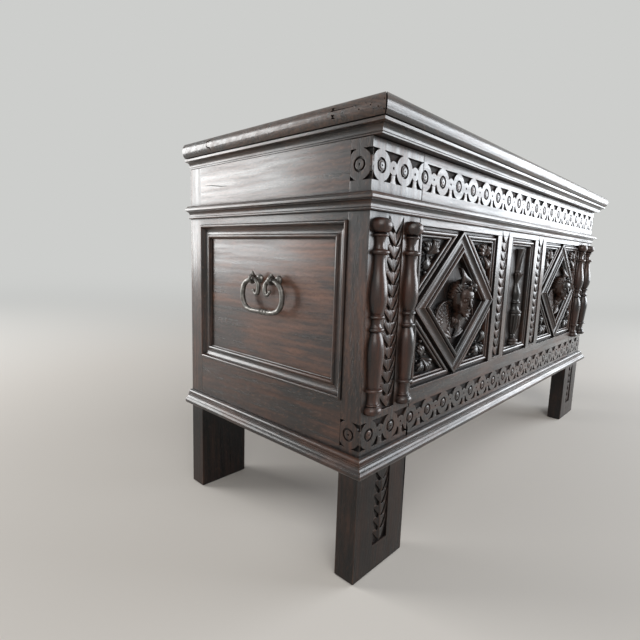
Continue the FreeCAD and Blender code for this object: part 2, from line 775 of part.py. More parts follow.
def build_front_panels():
    """Sight mouldings, lozenges, heads and foliage of the front."""
    plane = front_plane(front_ground_depth)
    sight = scaled(sight_profile_shares, sight_moulding_width, sight_moulding_height)
    lozenge = scaled(lozenge_profile_shares, lozenge_band, lozenge_height)
    panel_x = half_length - stile_width - side_panel_width / 2
    for name, side in sides.items():
        centre_x = side * panel_x
        band = mitred_sticks(plane, lozenge_corners(centre_x), True, lozenge)
        export("lozenge_" + name, Part.makeCompound(band))
        sticks = []
        leaves = []
        for hand_x in (-1, 1):
            for hand_z in (-1, 1):
                corners = spandrel_corners(centre_x, hand_x, hand_z)
                sticks += mitred_sticks(plane, corners, True, sight)
                leaves.append(foliage(plane, centre_x, hand_x, hand_z))
        export("sight_moulding_" + name, Part.makeCompound(sticks))
        export("corner_foliage_" + name, Part.makeCompound(leaves))
        export("winged_head_" + name, largest(winged_head(plane, centre_x).common(lozenge_window(centre_x))))
    half_width = half_length - centre_left - moulding_fit
    corners = [(-half_width, panel_bottom + moulding_fit), (half_width, panel_bottom + moulding_fit),
               (half_width, panel_top - moulding_fit), (-half_width, panel_top - moulding_fit)]
    export("sight_moulding_centre", Part.makeCompound(mitred_sticks(plane, corners, True, sight)))
    urn_height = panel_top - panel_bottom - urn_margin - urn_margin
    urn_foot = Vector(0, front_face + front_ground_depth, panel_bottom + urn_margin)
    export("carved_urn", half_turning(urn_foot, urn_height, urn_radius, urn_shares))


def build_end_mouldings():
    """The mitred moulding round each end panel."""
    profile = scaled(end_profile_shares, end_moulding_width, end_moulding_height)
    y0 = front_face + stile_thickness + moulding_fit
    y1 = back_face - stile_thickness - moulding_fit
    z0 = panel_bottom + moulding_fit
    z1 = panel_top - moulding_fit
    for name, side in sides.items():
        plane = end_plane(side, end_ground_depth)
        a0, a1 = sorted((y0 * plane.along.y, y1 * plane.along.y))
        corners = [(a0, z0), (a1, z0), (a1, z1), (a0, z1)]
        export("end_moulding_" + name, Part.makeCompound(mitred_sticks(plane, corners, True, profile)))


def build_balusters():
    """Four split balusters, two on each front stile."""
    stile_x = half_length - stile_width / 2
    for name, side in sides.items():
        for place, hand in (("outer", 1), ("inner", -1)):
            foot = Vector(side * (stile_x + hand * baluster_offset), front_face, baluster_bottom)
            turning = half_turning(foot, baluster_height, baluster_radius, baluster_shares)
            export("baluster_" + name + "_" + place, turning)


def lid_slab():
    """The whole lid top with its rounded front and ends, before it is sawn into boards."""
    middle = lid_thickness / 2
    front = front_face - lid_front_extra - lid_overhang
    edge = front + lid_round
    end = half_length + lid_overhang
    reach = end + cut_overrun
    long_face = outline(
        [(back_face, lid_bottom), (edge, lid_bottom), (front, lid_bottom + middle, edge, lid_top),
         (back_face, lid_top)],
        lambda y, z: Vector(-reach, y, z))
    end_in = end - lid_round
    cross_face = outline(
        [(end_in, lid_bottom), (end, lid_bottom + middle, end_in, lid_top), (-end_in, lid_top),
         (-end, lid_bottom + middle, -end_in, lid_bottom)],
        lambda x, z: Vector(x, front - cut_overrun, z))
    depth = back_face - front + cut_overrun + cut_overrun
    return long_face.extrude(Vector(reach + reach, 0, 0)).common(cross_face.extrude(Vector(0, depth, 0)))


def build_lid():
    """Three tongued lid boards, the moulding under them and the batten along the back."""
    slab = lid_slab()
    reach = half_length + lid_overhang + cut_overrun
    front = front_face - lid_front_extra - lid_overhang - cut_overrun
    joints = [front_face + lid_front_joint, front_face + lid_rear_joint]
    tongue_low = lid_bottom + (lid_thickness - lid_tongue_thickness) / 2
    starts = [front] + joints
    ends = joints + [back_face + cut_overrun]
    for i, name in enumerate(("lid_board_front", "lid_board_middle", "lid_board_rear")):
        board = slab.common(box(-reach, reach, starts[i], ends[i], lid_bottom, lid_top))
        if i < len(joints):
            tongue = (-reach, reach, ends[i] - cut_overrun, ends[i] + lid_tongue,
                      tongue_low, tongue_low + lid_tongue_thickness)
            board = board.fuse(slab.common(box(*tongue)))
        if i > 0:
            groove = (-reach, reach, starts[i] - cut_overrun, starts[i] + lid_tongue,
                      tongue_low, tongue_low + lid_tongue_thickness)
            board = board.cut(grown(groove, joint_fit))
        export(name, board)
    plane = Plane(Vector(0, 0, lid_moulding_bottom), Vector(1, 0, 0), Vector(0, 1, 0))
    front_line = front_face - lid_front_extra
    path = [(half_length, back_face), (half_length, front_line),
            (-half_length, front_line), (-half_length, back_face)]
    profile = scaled(lid_profile_shares, lid_moulding_width, lid_moulding_height)
    profile += [(-lid_moulding_seat, lid_moulding_height), (-lid_moulding_seat, 0)]
    for place, stick in zip(("right", "front", "left"), mitred_sticks(plane, path, False, profile)):
        export("lid_moulding_" + place, stick)
    inner = half_length - lid_moulding_seat
    export("lid_batten_rear", box(-inner, inner, back_face - lid_batten_width, back_face,
                                  lid_moulding_bottom, lid_bottom))


def hinge_barrel(x0, x1):
    """One barrel of a hinge, bored for its pin."""
    start = Vector(x0, hinge_y, hinge_z)
    along = Vector(1, 0, 0)
    outer = cylinder(start, along, hinge_barrel_radius, x1 - x0)
    return outer.cut(cylinder(start, along, hinge_pin_radius + hinge_pin_fit, x1 - x0))


def hinge_leaf(centre_x, barrels, hand):
    """A flat leaf with its barrels: hand 1 is the lid's leaf, above, and hand -1 the body's."""
    near = hinge_barrel_radius + hinge_root_gap
    far = near + hinge_plate_height
    z0, z1 = sorted((hinge_z + hand * near, hinge_z + hand * far))
    y1 = back_face + hinge_plate_thickness
    pieces = [box(centre_x - hinge_width / 2, centre_x + hinge_width / 2, back_face, y1, z0, z1)]
    for x0, x1 in barrels:
        root_low, root_high = sorted((hinge_z, hinge_z + hand * (near + hinge_root_gap)))
        root = box(x0, x1, back_face, y1, root_low, root_high)
        bore = cylinder(Vector(x0, hinge_y, hinge_z), Vector(1, 0, 0),
                        hinge_pin_radius + hinge_pin_fit, x1 - x0)
        pieces.append(root.cut(bore))
        pieces.append(hinge_barrel(x0, x1))
    return fused(pieces)


def build_hinges():
    """Two butt hinges on the back, whose leaves lie on the top rail and on the lid's rear edge."""
    body_leaves = []
    lid_leaves = []
    pins = []
    for side in sides.values():
        centre_x = side * hinge_spacing / 2
        left = centre_x - hinge_width / 2
        third = hinge_width / 3
        outer = [(left, left + third - hinge_barrel_gap / 2),
                 (left + third * 2 + hinge_barrel_gap / 2, left + hinge_width)]
        middle = [(left + third + hinge_barrel_gap / 2, left + third * 2 - hinge_barrel_gap / 2)]
        body_leaves.append(hinge_leaf(centre_x, outer, -1))
        lid_leaves.append(hinge_leaf(centre_x, middle, 1))
        along = Vector(1, 0, 0)
        pin = cylinder(Vector(left, hinge_y, hinge_z), along, hinge_pin_radius, hinge_width)
        pin_head_radius = hinge_barrel_radius - hinge_barrel_gap
        heads = [cylinder(Vector(x, hinge_y, hinge_z), along, pin_head_radius, hinge_pin_head)
                 for x in (left - hinge_pin_head, left + hinge_width)]
        pins.append(fused([pin] + heads))
    export("hinge_body_leaves", Part.makeCompound(body_leaves))
    export("hinge_lid_leaves", Part.makeCompound(lid_leaves))
    export("hinge_pins", Part.makeCompound(pins))


def stud_places():
    """The two studs of a handle, along y."""
    centre = front_face + handle_from_front
    return [centre - handle_eye_spacing / 2, centre + handle_eye_spacing / 2]


def rivet_holes():
    """Holes through the end panels for the handle studs."""
    holes = []
    for side in sides.values():
        for y in stud_places():
            start = Vector(side * half_length, y, handle_height)
            holes.append(cylinder(start, Vector(-side, 0, 0), eye_shank_radius + dome_fit,
                                  end_ground_depth + panel_thickness + cut_overrun))
    return holes


def handle_stud(side, y):
    """A riveted stud: a domed rose on the panel, a shank and an eye for the bail."""
    wall = side * (half_length - end_ground_depth)
    outwards = Vector(side, 0, 0)
    foot = Vector(wall, y, handle_height)
    dome = outline(
        [(0, 0), (dome_radius, 0),
         (dome_radius * diagonal_share, dome_height * diagonal_share, 0, dome_height)],
        lambda r, h: foot + up * r + outwards * h).revolve(foot, outwards, 360)
    eye_x = wall + side * handle_stand
    back = foot - outwards * panel_thickness
    shank = cylinder(back, outwards, eye_shank_radius, panel_thickness + handle_stand)
    rivet = cylinder(back - outwards * rivet_thickness, outwards, rivet_radius, rivet_thickness)
    eye = cylinder(Vector(eye_x, y - eye_length / 2, handle_height), Vector(0, 1, 0), eye_radius, eye_length)
    hole = cylinder(Vector(eye_x, y - eye_length, handle_height), Vector(0, 1, 0),
                    bail_radius + bail_fit, eye_length + eye_length)
    return fused([dome, shank, rivet, eye]).cut(hole)


def bail(side):
    """A round iron bail that hangs from two eyes: its tips curl down to balls, and it has grip rings below."""
    x = side * (half_length - end_ground_depth + handle_stand)
    centre_y = front_face + handle_from_front
    plane = Plane(Vector(x, centre_y, handle_height), Vector(0, 1, 0), up)
    reach = bail_outer_width / 2 - bail_radius
    bend_share = 1 - diagonal_share
    curl_start = handle_eye_spacing / 2 - bail_eye_run
    tip_across = curl_start - bail_curl
    tip_height = -bail_curl - bail_tip_drop
    top_start = reach - bail_shoulder
    low_start = bail_corner - bail_drop
    run = reach - bail_corner
    path = [
        Part.makeLine(plane.at(tip_across, tip_height), plane.at(tip_across, -bail_curl)),
        Part.Arc(plane.at(tip_across, -bail_curl),
                 plane.at(tip_across + bail_curl * bend_share, -bail_curl * bend_share),
                 plane.at(curl_start, 0)).toShape(),
        Part.makeLine(plane.at(curl_start, 0), plane.at(top_start, 0)),
        Part.Arc(plane.at(top_start, 0),
                 plane.at(reach - bail_shoulder * bend_share, -bail_shoulder * bend_share),
                 plane.at(reach, -bail_shoulder)).toShape(),
        Part.makeLine(plane.at(reach, -bail_shoulder), plane.at(reach, low_start)),
        Part.Arc(plane.at(reach, low_start),
                 plane.at(reach - bail_corner * bend_share, bail_corner * bend_share - bail_drop),
                 plane.at(run, -bail_drop)).toShape(),
        Part.makeLine(plane.at(run, -bail_drop), plane.at(0, -bail_drop))]
    section = Part.Wire(Part.makeCircle(bail_radius, plane.at(tip_across, tip_height), up))
    half = Part.Wire(path).makePipeShell([section], True, False)
    ball = Part.makeSphere(bail_tip_radius, plane.at(tip_across, tip_height))
    pieces = [half, ball]
    mirrored = [piece.mirror(plane.origin, plane.along) for piece in pieces]
    rings = []
    for i in (-1, 0, 1):
        start = plane.at(i * grip_ring_pitch - grip_ring_width / 2, -bail_drop)
        rings.append(cylinder(start, plane.along, grip_ring_radius, grip_ring_width))
    return fused(pieces + mirrored + rings)


def build_handles():
    """Studs and bails at both ends."""
    for name, side in sides.items():
        export("handle_studs_" + name, Part.makeCompound([handle_stud(side, y) for y in stud_places()]))
        export("bail_" + name, bail(side))


build_frame()
build_bottom()
build_outer_mouldings()
build_front_panels()
build_end_mouldings()
build_balusters()
build_lid()
build_hinges()
build_handles()
print(len(parts), "nodes")
for node, shape in parts.items():
    print(node, len(shape.Solids), round(shape.Volume))
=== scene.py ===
"""A dark carved oak cassone: the finished surfaces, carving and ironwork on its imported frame."""
import json
import math
import random

import bpy
import numpy
from mathutils import Matrix, Vector


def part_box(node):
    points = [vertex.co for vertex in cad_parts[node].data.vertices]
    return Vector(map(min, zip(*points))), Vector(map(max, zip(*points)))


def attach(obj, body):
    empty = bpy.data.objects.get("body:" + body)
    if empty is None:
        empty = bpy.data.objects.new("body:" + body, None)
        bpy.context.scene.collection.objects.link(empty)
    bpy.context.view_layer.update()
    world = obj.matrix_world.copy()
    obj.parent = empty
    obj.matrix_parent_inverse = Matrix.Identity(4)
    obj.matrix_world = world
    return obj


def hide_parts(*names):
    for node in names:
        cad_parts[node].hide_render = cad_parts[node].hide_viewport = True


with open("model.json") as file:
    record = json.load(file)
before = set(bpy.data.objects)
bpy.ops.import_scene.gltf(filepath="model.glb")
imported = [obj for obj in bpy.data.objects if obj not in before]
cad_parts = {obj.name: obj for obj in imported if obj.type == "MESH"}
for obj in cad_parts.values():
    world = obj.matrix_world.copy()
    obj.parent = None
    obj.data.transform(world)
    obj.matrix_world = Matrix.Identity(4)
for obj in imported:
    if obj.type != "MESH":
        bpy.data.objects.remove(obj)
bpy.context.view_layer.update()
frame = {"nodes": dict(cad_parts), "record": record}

mm = 0.001
nodes = frame["nodes"]
node_slot = {part["node"]: part["material_slot"] for part in frame["record"]["subparts"]}
node_body = {node: body for body, held in frame["record"]["behaviour"]["bodies"].items() for node in held}
X, Y, Z = Vector((1, 0, 0)), Vector((0, 1, 0)), Vector((0, 0, 1))
ends = {"left": -1, "right": 1}


def limits(node):
    """The lowest and the highest corner of a node's box."""
    return [Vector(corner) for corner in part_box(node)]


end_face, front_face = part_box("stile_front_left")[0][:2]
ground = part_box("front_panel_left")[0][1]
guilloche_depth = 4 * mm


# Shader sockets and materials

class Socket:
    """A shader socket that takes part in sums."""

    def __init__(self, owner, socket):
        self.owner = owner
        self.socket = socket

    def maths(self, operation, *values):
        return self.owner.node("Math", {"operation": operation}, *(values or (self,)))

    def __add__(self, other):
        return self.maths("ADD", self, other)

    def __radd__(self, other):
        return self.maths("ADD", other, self)

    def __sub__(self, other):
        return self.maths("SUBTRACT", self, other)

    def __rsub__(self, other):
        return self.maths("SUBTRACT", other, self)

    def __mul__(self, other):
        return self.maths("MULTIPLY", self, other)

    def __rmul__(self, other):
        return self.maths("MULTIPLY", other, self)

    def between(self, low, high, start=0.0, end=1.0):
        """Start below low and end above high, with a smooth rise."""
        return self.owner.node(
            "MapRange", {"interpolation_type": "SMOOTHSTEP"},
            Value=self, From_Min=low, From_Max=high, To_Min=start, To_Max=end)


class Nodes:
    """A node tree that is written as sums."""

    def __init__(self, tree):
        self.tree = tree

    def fill(self, socket, value):
        if isinstance(value, Socket):
            self.tree.links.new(value.socket, socket)
        else:
            socket.default_value = value

    def node(self, kind, settings=None, *values, out=0, **sockets):
        """Any node: its settings first, then its sockets in order, where None skips one, or by name."""
        made = self.tree.nodes.new("ShaderNode" + kind)
        for key, value in (settings or {}).items():
            setattr(made, key, value)
        for i, value in enumerate(values):
            if value is not None:
                self.fill(made.inputs[i], value)
        for key, value in sockets.items():
            self.fill(made.inputs[key.replace("_", " ")], value)
        return Socket(self, made.outputs[out])

    def noise(self, place, scale=1.0, detail=2.0, roughness=0.5, distortion=0.0):
        return self.node("TexNoise", None, Vector=place, Scale=scale, Detail=detail,
                         Roughness=roughness, Distortion=distortion)

    def stretched(self, place, x, y, z):
        """Places with so many units to a metre along each axis."""
        return self.node("Mapping", None, Vector=place, Scale=(x, y, z))

    def mix(self, factor, first, second, blend="MIX"):
        """A mix of two colours; the node's sockets for numbers and vectors are passed over."""
        passed_over = [None] * 5
        return self.node("Mix", {"data_type": "RGBA", "blend_type": blend}, factor, *passed_over,
                         first, second, out=2)

    def maximum(self, first, second):
        return self.node("Math", {"operation": "MAXIMUM"}, first, second)

    def here(self):
        """The place on the object, in metres."""
        return self.node("TexCoord", None, out="Object")

    def shows_background(self):
        """1 on the rays that see the background: the camera's own, in gloss and through glass."""
        seen, gloss, glass = (self.node("LightPath", None, out=ray) for ray in
                              ("Is Camera Ray", "Is Glossy Ray", "Is Transmission Ray"))
        return self.maximum(self.maximum(seen, gloss), glass)


class Finish(Nodes):
    """A material and its nodes."""

    def __init__(self, name):
        self.material = bpy.data.materials.new(name)
        self.material.use_nodes = True
        super().__init__(self.material.node_tree)
        self.shader = self.tree.nodes["Principled BSDF"]

    def sunk_face(self, here, facing, axis, place):
        """1 on the flat bottom of a sunk ground square to an axis, on either side of the middle."""
        near, far = 0.4 * mm, 0.8 * mm
        off = self.node("SeparateXYZ", None, here, out=axis).maths("ABSOLUTE") - abs(place)
        square = self.node("SeparateXYZ", None, facing, out=axis).maths("ABSOLUTE").between(0.85, 0.95)
        return off.between(-far, -near) * off.between(near, far, 1.0, 0.0) * square

    def set(self, **sockets):
        """Values or links on the main shader."""
        for key, value in sockets.items():
            self.fill(self.shader.inputs[key.replace("_", " ")], value)

    def bump(self, height, strength, distance):
        self.set(Normal=self.node("Bump", None, Height=height, Strength=strength, Distance=distance))


def colour(red, green, blue):
    """A display colour of 0 to 255 as the linear one that a shader takes."""
    shares = [value / 255 for value in (red, green, blue)]
    linear = [share / 12.92 if share <= 0.04045 else ((share + 0.055) / 1.055) ** 2.4 for share in shares]
    return (*linear, 1.0)


# Near black for the pores, and for the dirt and painted shade in the hollows
pore_and_shade_black = colour(6, 5, 5)
# The colour of the painted shade on the legs
leg_shade_black = colour(7, 6, 6)
# The colour of the painted shade on the sunk ground behind the guilloche rings
sunk_ground_shade = colour(10, 8, 8)
rubbed_brown = colour(112, 82, 64)
# Heights above the floor: the painted shade on the legs is full below the first and gone above the second
leg_shade_below, leg_shade_end = 0.17, 0.24
foot_wear_end = 45 * mm


def oak(name, dark, warm, warmth, rough, polish=0.0, pores=1.0, rubbed=0.5, figure=1.0, framed=False,
        punched=False):
    """Old oak under stain and wax; its grain runs along the first axis of the grain attribute.

    Framed oak has painted shade on its legs, darker towards the floor, and its feet worn pale; punched oak
    has a stippled ground behind its rings, darkened with painted shade."""
    f = Finish(name)
    place = f.node("Attribute", {"attribute_name": "grain"}, out="Vector")
    wander = f.node("TexNoise", None, out="Color", Vector=place, Scale=4.0, Detail=1.0)
    drift = f.node("VectorMath", {"operation": "MULTIPLY_ADD"}, wander, (0.03, 0.014, 0.014), place)
    heart = f.node("Mapping", None, Vector=drift, Location=(0.0, 0.05, 0.075), Rotation=(0.0, 0.05, 0.07))
    rings = f.node("TexWave", {"wave_type": "RINGS", "rings_direction": "X"}, out="Fac", Vector=heart,
                   Scale=46.0, Distortion=5.0, Detail=3.0, Detail_Scale=1.6, Detail_Roughness=0.6)
    streak = f.noise(f.stretched(drift, 5, 150, 150), detail=6.0, roughness=0.62)
    ribbon = f.noise(f.stretched(drift, 4, 75, 75), detail=4.0, roughness=0.6)
    fine = f.noise(f.stretched(place, 22, 900, 900), detail=3.0, roughness=0.6)
    dashes = f.noise(f.stretched(place, 75, 2300, 2300), detail=1.0)
    pore = dashes.between(0.6, 0.72) * rings.between(0.2, 0.75, 0.25, 1.0) * pores
    patch = f.noise(f.stretched(place, 5, 9, 9), detail=3.0, roughness=0.55, distortion=0.6)
    cloud = f.noise(place, scale=17.0, detail=4.0, roughness=0.6)
    slanted = f.node("Mapping", {"vector_type": "TEXTURE"}, Vector=drift, Rotation=(0.0, 0.3, 0.35),
                     Scale=(36 * mm, 4 * mm, 4 * mm))
    fleck = f.noise(slanted).between(0.56, 0.7) * figure

    # Wear on the arrises, and dirt together with painted shade in the hollows
    arris = f.node("AmbientOcclusion", {"samples": 5, "inside": True, "only_local": True}, out="AO",
                   Distance=2.2 * mm)
    worn = arris.between(0.5, 0.9, 1.0, 0.0) * cloud.between(0.3, 0.65, 0.45, 1.0) * rubbed
    # Painted shade together with dirt: how hollow a place is, from its occlusion, darkens its colour, dulls
    # it and takes away its wax
    shelter = f.node("AmbientOcclusion", {"samples": 5}, out="AO", Distance=13 * mm)
    hollow = shelter.between(0.35, 0.9, 1.0, 0.0)

    base = f.mix((patch * 0.55 + ribbon * 0.45).between(0.42, 0.6) * warmth, dark, warm)
    ringed = rings.between(0.15, 0.9, 1.0 + 0.2 * figure, 1.0 - 0.26 * figure)
    streaked = streak.between(0.3, 0.7, 1.25, 0.68) * ringed
    base = f.mix(1.0, base, f.node("CombineXYZ", None, streaked, streaked, streaked), "MULTIPLY")
    lighter = f.mix(0.5, warm, rubbed_brown)
    base = f.mix(fleck * 0.4, base, lighter)
    dull = pore * 0.25 + hollow * 0.3
    wax = ribbon.between(0.3, 0.72, polish, polish * 0.45) * (1 - hollow)
    height = streak * 0.6 + fine * 0.3 + rings * 0.3 * figure - pore * 0.7 + cloud * 0.12 + fleck * 0.2
    if framed:
        # Painted shade: the legs' colour darkens towards the floor, and they lose their wax there
        rise = f.node("SeparateXYZ", None, f.here(), out="Z")
        leg = rise.between(leg_shade_below, leg_shade_end, 1.0, 0.0)
        base = f.mix(leg * 0.65, base, leg_shade_black)
        wax = wax * (1 - 0.85 * leg)
        worn = worn + rise.between(0.0, foot_wear_end, 1.0, 0.0) * arris.between(0.55, 0.95, 1.0, 0.0)
    if punched:
        here, facing = f.here(), f.node("NewGeometry", None, out="Normal")
        sunk = f.maximum(f.sunk_face(here, facing, "Y", front_face + guilloche_depth),
                         f.sunk_face(here, facing, "X", end_face + guilloche_depth))
        dots = f.node("TexVoronoi", None, out="Distance", Vector=here, Scale=480.0)
        punch = dots.between(0.1, 0.5, 1.0, 0.0)
        # Painted shade darkens the flat sunk ground, broken by the punched stipple
        base = f.mix(sunk * (0.5 + 0.4 * punch), base, sunk_ground_shade)
        dull = dull + sunk * 0.3
        wax = wax * (1 - sunk)
        height = height - sunk * punch * 2.5
    base = f.mix(worn * 0.7, base, lighter)
    # Pores darken the colour, and the hollows darken it with dirt and painted shade
    base = f.mix(f.maximum(pore * 0.8, hollow * 0.92), base, pore_and_shade_black)
    sheen = rough + ribbon.between(0.3, 0.7, -0.06, 0.09) + fine.between(0.35, 0.7, 0.0, 0.1)
    f.set(Base_Color=base, Roughness=sheen + dull - worn * 0.12, Coat_Weight=wax)
    f.set(Specular_IOR_Level=0.3, Coat_Roughness=0.2, Coat_IOR=1.45)
    f.bump(height, 0.42, 0.5 * mm)
    return f.material


def iron(name):
    """Hand-forged iron, waxed black, rubbed grey on the high places."""
    f = Finish(name)
    place = f.here()
    hammer = f.noise(place, scale=130.0)
    grit = f.noise(place, scale=1500.0, detail=3.0, roughness=0.6)
    rub = hammer.between(0.45, 0.7) * 0.7
    base = f.mix(rub, colour(100, 98, 95), colour(152, 150, 145))
    rust = f.noise(place, scale=60.0, detail=4.0, roughness=0.6).between(0.58, 0.74) * 0.3
    f.set(Base_Color=f.mix(rust, base, colour(74, 48, 36)), Metallic=0.9)
    f.set(Roughness=0.38 - rub * 0.1 + grit.between(0.4, 0.7) * 0.08)
    f.bump(hammer + grit * 0.25, 0.2, 0.25 * mm)
    return f.material


framing = {"dark": colour(22, 17, 16), "warm": colour(74, 48, 36), "warmth": 0.9, "rough": 0.29,
           "polish": 0.95}
framing_oak = oak("framing_oak", framed=True, **framing)
# Framing oak with a punched sunk ground, darkened with painted shade
guilloche_oak = oak("guilloche_oak", framed=True, punched=True, **framing)
panel_oak = oak("panel_oak", colour(54, 46, 44), colour(106, 73, 57), warmth=0.95, rough=0.3,
                polish=0.85, figure=0.7)
# Painted shade: a darker, shaded copy of the panel oak for the sunk ground of the front panels
ground_oak = oak("ground_oak", colour(14, 12, 12), colour(40, 27, 22), warmth=0.6, rough=0.36,
                 polish=0.1, rubbed=0.2)
carved_oak = oak("carved_oak", colour(14, 11, 11), colour(64, 42, 32), warmth=0.75, rough=0.28,
                 polish=0.55, pores=0.3, rubbed=0.6, figure=0.4)
turned_oak = oak("turned_oak", colour(12, 10, 10), colour(74, 42, 29), warmth=0.8, rough=0.28,
                 polish=0.9, pores=0.15, rubbed=0.6, figure=0.3)
lid_oak = oak("lid_oak", colour(32, 28, 27), colour(78, 57, 46), warmth=0.75, rough=0.28, polish=0.95)
dry_oak = oak("dry_oak", colour(64, 48, 39), colour(104, 76, 56), warmth=0.7, rough=0.6, rubbed=0.2)
slot_finish = {
    "framing_oak": framing_oak, "panel_oak": panel_oak, "carved_oak": carved_oak,
    "turned_oak": turned_oak, "lid_oak": lid_oak, "unwaxed_oak": dry_oak,
    "wrought_iron": iron("wrought_iron")}
# The front panels take the shaded copy of the panel oak, and the guilloche boards the oak with painted shade
# on its sunk ground
board_finish = {
    "front_panel": ground_oak, "stile_front": guilloche_oak, "front_top_rail": guilloche_oak,
    "front_bottom_rail": guilloche_oak}


# Modelling helpers

small_arris = 0.3 * mm


def select_none():
    if bpy.context.mode != "OBJECT":
        bpy.ops.object.mode_set(mode="OBJECT")
    bpy.ops.object.select_all(action="DESELECT")


def take(piece):
    """Make one piece the only one selected and the active one."""
    select_none()
    piece.select_set(True)
    bpy.context.view_layer.objects.active = piece


def edit(piece, mode="FACE", action="SELECT"):
    """Open a piece in edit mode with all of it selected, or none."""
    take(piece)
    bpy.ops.object.mode_set(mode="EDIT")
    bpy.ops.mesh.select_mode(type=mode)
    bpy.ops.mesh.select_all(action=action)


def leave():
    """Close edit mode."""
    bpy.ops.object.mode_set(mode="OBJECT")


def apply(piece, kind, **settings):
    """Add a modifier, set it and apply it."""
    take(piece)
    modifier = piece.modifiers.new(kind.lower(), kind)
    for key, value in settings.items():
        setattr(modifier, key, value)
    bpy.ops.object.modifier_apply(modifier=modifier.name)


def smooth(piece, degrees=34):
    take(piece)
    bpy.ops.object.shade_smooth_by_angle(angle=math.radians(degrees))


def frame_of(along):
    """Three axes of which the first runs along the grain."""
    along = along.normalized()
    side = Z if abs(along.z) < 0.9 else X
    across = side.cross(along).normalized()
    return along, across, along.cross(across)


def lay_grain(piece, along, seed=None):
    """Store the grain places on a piece, as if it were sawn from its own stretch of the log."""
    mesh = piece.data
    shift = random.Random(seed or piece.name)
    layer = mesh.attributes.new("grain", "FLOAT_VECTOR", "CORNER")
    places = numpy.empty(len(mesh.vertices) * 3)
    mesh.vertices.foreach_get("co", places)
    corners = numpy.empty(len(mesh.loops), dtype=int)
    mesh.loops.foreach_get("vertex_index", corners)
    axes = numpy.array([list(axis) for axis in frame_of(along)])
    stretch, depth = 3, 0.03
    offset = numpy.array([shift.uniform(-stretch, stretch), shift.uniform(-depth, depth),
                          shift.uniform(-depth, depth)])
    layer.data.foreach_set("vector", (places.reshape(-1, 3)[corners] @ axes.T + offset).ravel())


def dress(piece, slot, stands_for=(), body="carcass", finish=None):
    """Give a finished piece the material of its record slot, or the finish given, put it in its body and
    hide the nodes that it stands for.
    """
    piece.data.materials.clear()
    piece.data.materials.append(finish or slot_finish[slot])
    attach(piece, body)
    if stands_for:
        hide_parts(*stands_for)


def merged_copy(node, name):
    """A copy of a node's mesh with its seams merged."""
    piece = bpy.data.objects.new(name, nodes[node].data.copy())
    bpy.context.scene.collection.objects.link(piece)
    edit(piece, "VERT")
    bpy.ops.mesh.remove_doubles(threshold=0.01 * mm)
    bpy.ops.mesh.mark_sharp(clear=True)
    bpy.ops.mesh.dissolve_limited(angle_limit=math.radians(0.5))
    leave()
    bpy.ops.mesh.customdata_custom_splitnormals_clear()
    return piece


def copy_of(model, place, mirrored=False):
    """A copy of a model with its own mesh, moved to a place, and mirrored from side to side first."""
    copy = model.copy()
    copy.data = model.data.copy()
    bpy.context.scene.collection.objects.link(copy)
    if mirrored:
        copy.data.transform(Matrix.Diagonal((-1, 1, 1, 1)))
    copy.data.transform(Matrix.Translation(place))
    if mirrored:
        facing_out(copy)
    return copy


def soften(piece, width, angle=32, clamp=False):
    """Round every arris; clamped where small cuts lie close together."""
    apply(piece, "BEVEL", width=width, segments=2, limit_method="ANGLE",
          angle_limit=math.radians(angle), use_clamp_overlap=clamp, harden_normals=False,
          miter_outer="MITER_ARC")
    smooth(piece)
    apply(piece, "WEIGHTED_NORMAL", weight=100, keep_sharp=True)


def ease(piece, width):
    """Round the arrises of a small carved piece."""
    apply(piece, "BEVEL", width=width, segments=2, limit_method="ANGLE", angle_limit=math.radians(40))
    smooth(piece, 50)


def named(name):
    """The primitive that was just added, under its own name."""
    piece = bpy.context.object
    piece.name = name
    piece.data.name = name
    return piece


def facing_out(piece, merge=0.001 * mm):
    """Merge doubles and turn every face outwards."""
    edit(piece, "VERT")
    bpy.ops.mesh.remove_doubles(threshold=merge)
    bpy.ops.mesh.delete_loose()
    bpy.ops.mesh.select_all(action="SELECT")
    bpy.ops.mesh.normals_make_consistent(inside=False)
    leave()


def joined(name, pieces):
    """Several pieces made one, under a name."""
    select_none()
    for piece in pieces:
        piece.select_set(True)
    bpy.context.view_layer.objects.active = pieces[0]
    bpy.ops.object.join()
    return named(name)


def flat_shape(name, places, fill="NGON"):
    """One face, or one closed line, through places."""
    select_none()
    bpy.ops.mesh.primitive_circle_add(vertices=len(places), radius=mm, fill_type=fill)
    piece = named(name)
    for vertex, place in zip(piece.data.vertices, places):
        vertex.co = place
    return piece


def prism(name, places, reach):
    """A flat shape drawn out to a solid along reach."""
    piece = flat_shape(name, places)
    edit(piece)
    bpy.ops.mesh.extrude_region_move(TRANSFORM_OT_translate={"value": reach})
    leave()
    facing_out(piece)
    return piece


def slice_off(place, normal):
    """Cut the piece in edit mode flat and throw away what lies beyond the cut."""
    bpy.ops.mesh.select_all(action="SELECT")
    bpy.ops.mesh.bisect(plane_co=place, plane_no=normal, use_fill=True, clear_outer=True)


def cut_away(piece, cutter):
    """Take a cutter's shape out of a piece."""
    apply(piece, "BOOLEAN", operation="DIFFERENCE", solver="EXACT", object=cutter)
    bpy.data.objects.remove(cutter)


def angle_between(first, second):
    """The signed angle from one flat vector to another."""
    return math.atan2(first.cross(second), first.dot(second))


def arc(start, middle, end, steps):
    """Points after start on the arc through middle to end."""
    a, b = middle - start, end - start
    turn = 2 * a.cross(b)
    centre = start + Vector((b.y * a.dot(a) - a.y * b.dot(b), a.x * b.dot(b) - b.x * a.dot(a))) / turn
    first, second, third = start - centre, middle - centre, end - centre
    sweep = angle_between(first, second) + angle_between(second, third)
    return [centre + Matrix.Rotation(sweep * i / steps, 2) @ first for i in range(1, steps + 1)]


def rounded(points, steps=6):
    """A line in millimetres: pairs are corners, and four numbers are an arc's middle and end."""
    line = [Vector(points[0])]
    for point in points[1:]:
        end = Vector(point[-2:])
        line += arc(line[-1], Vector(point[:2]), end, steps) if len(point) == 4 else [end]
    return [place * mm for place in line]


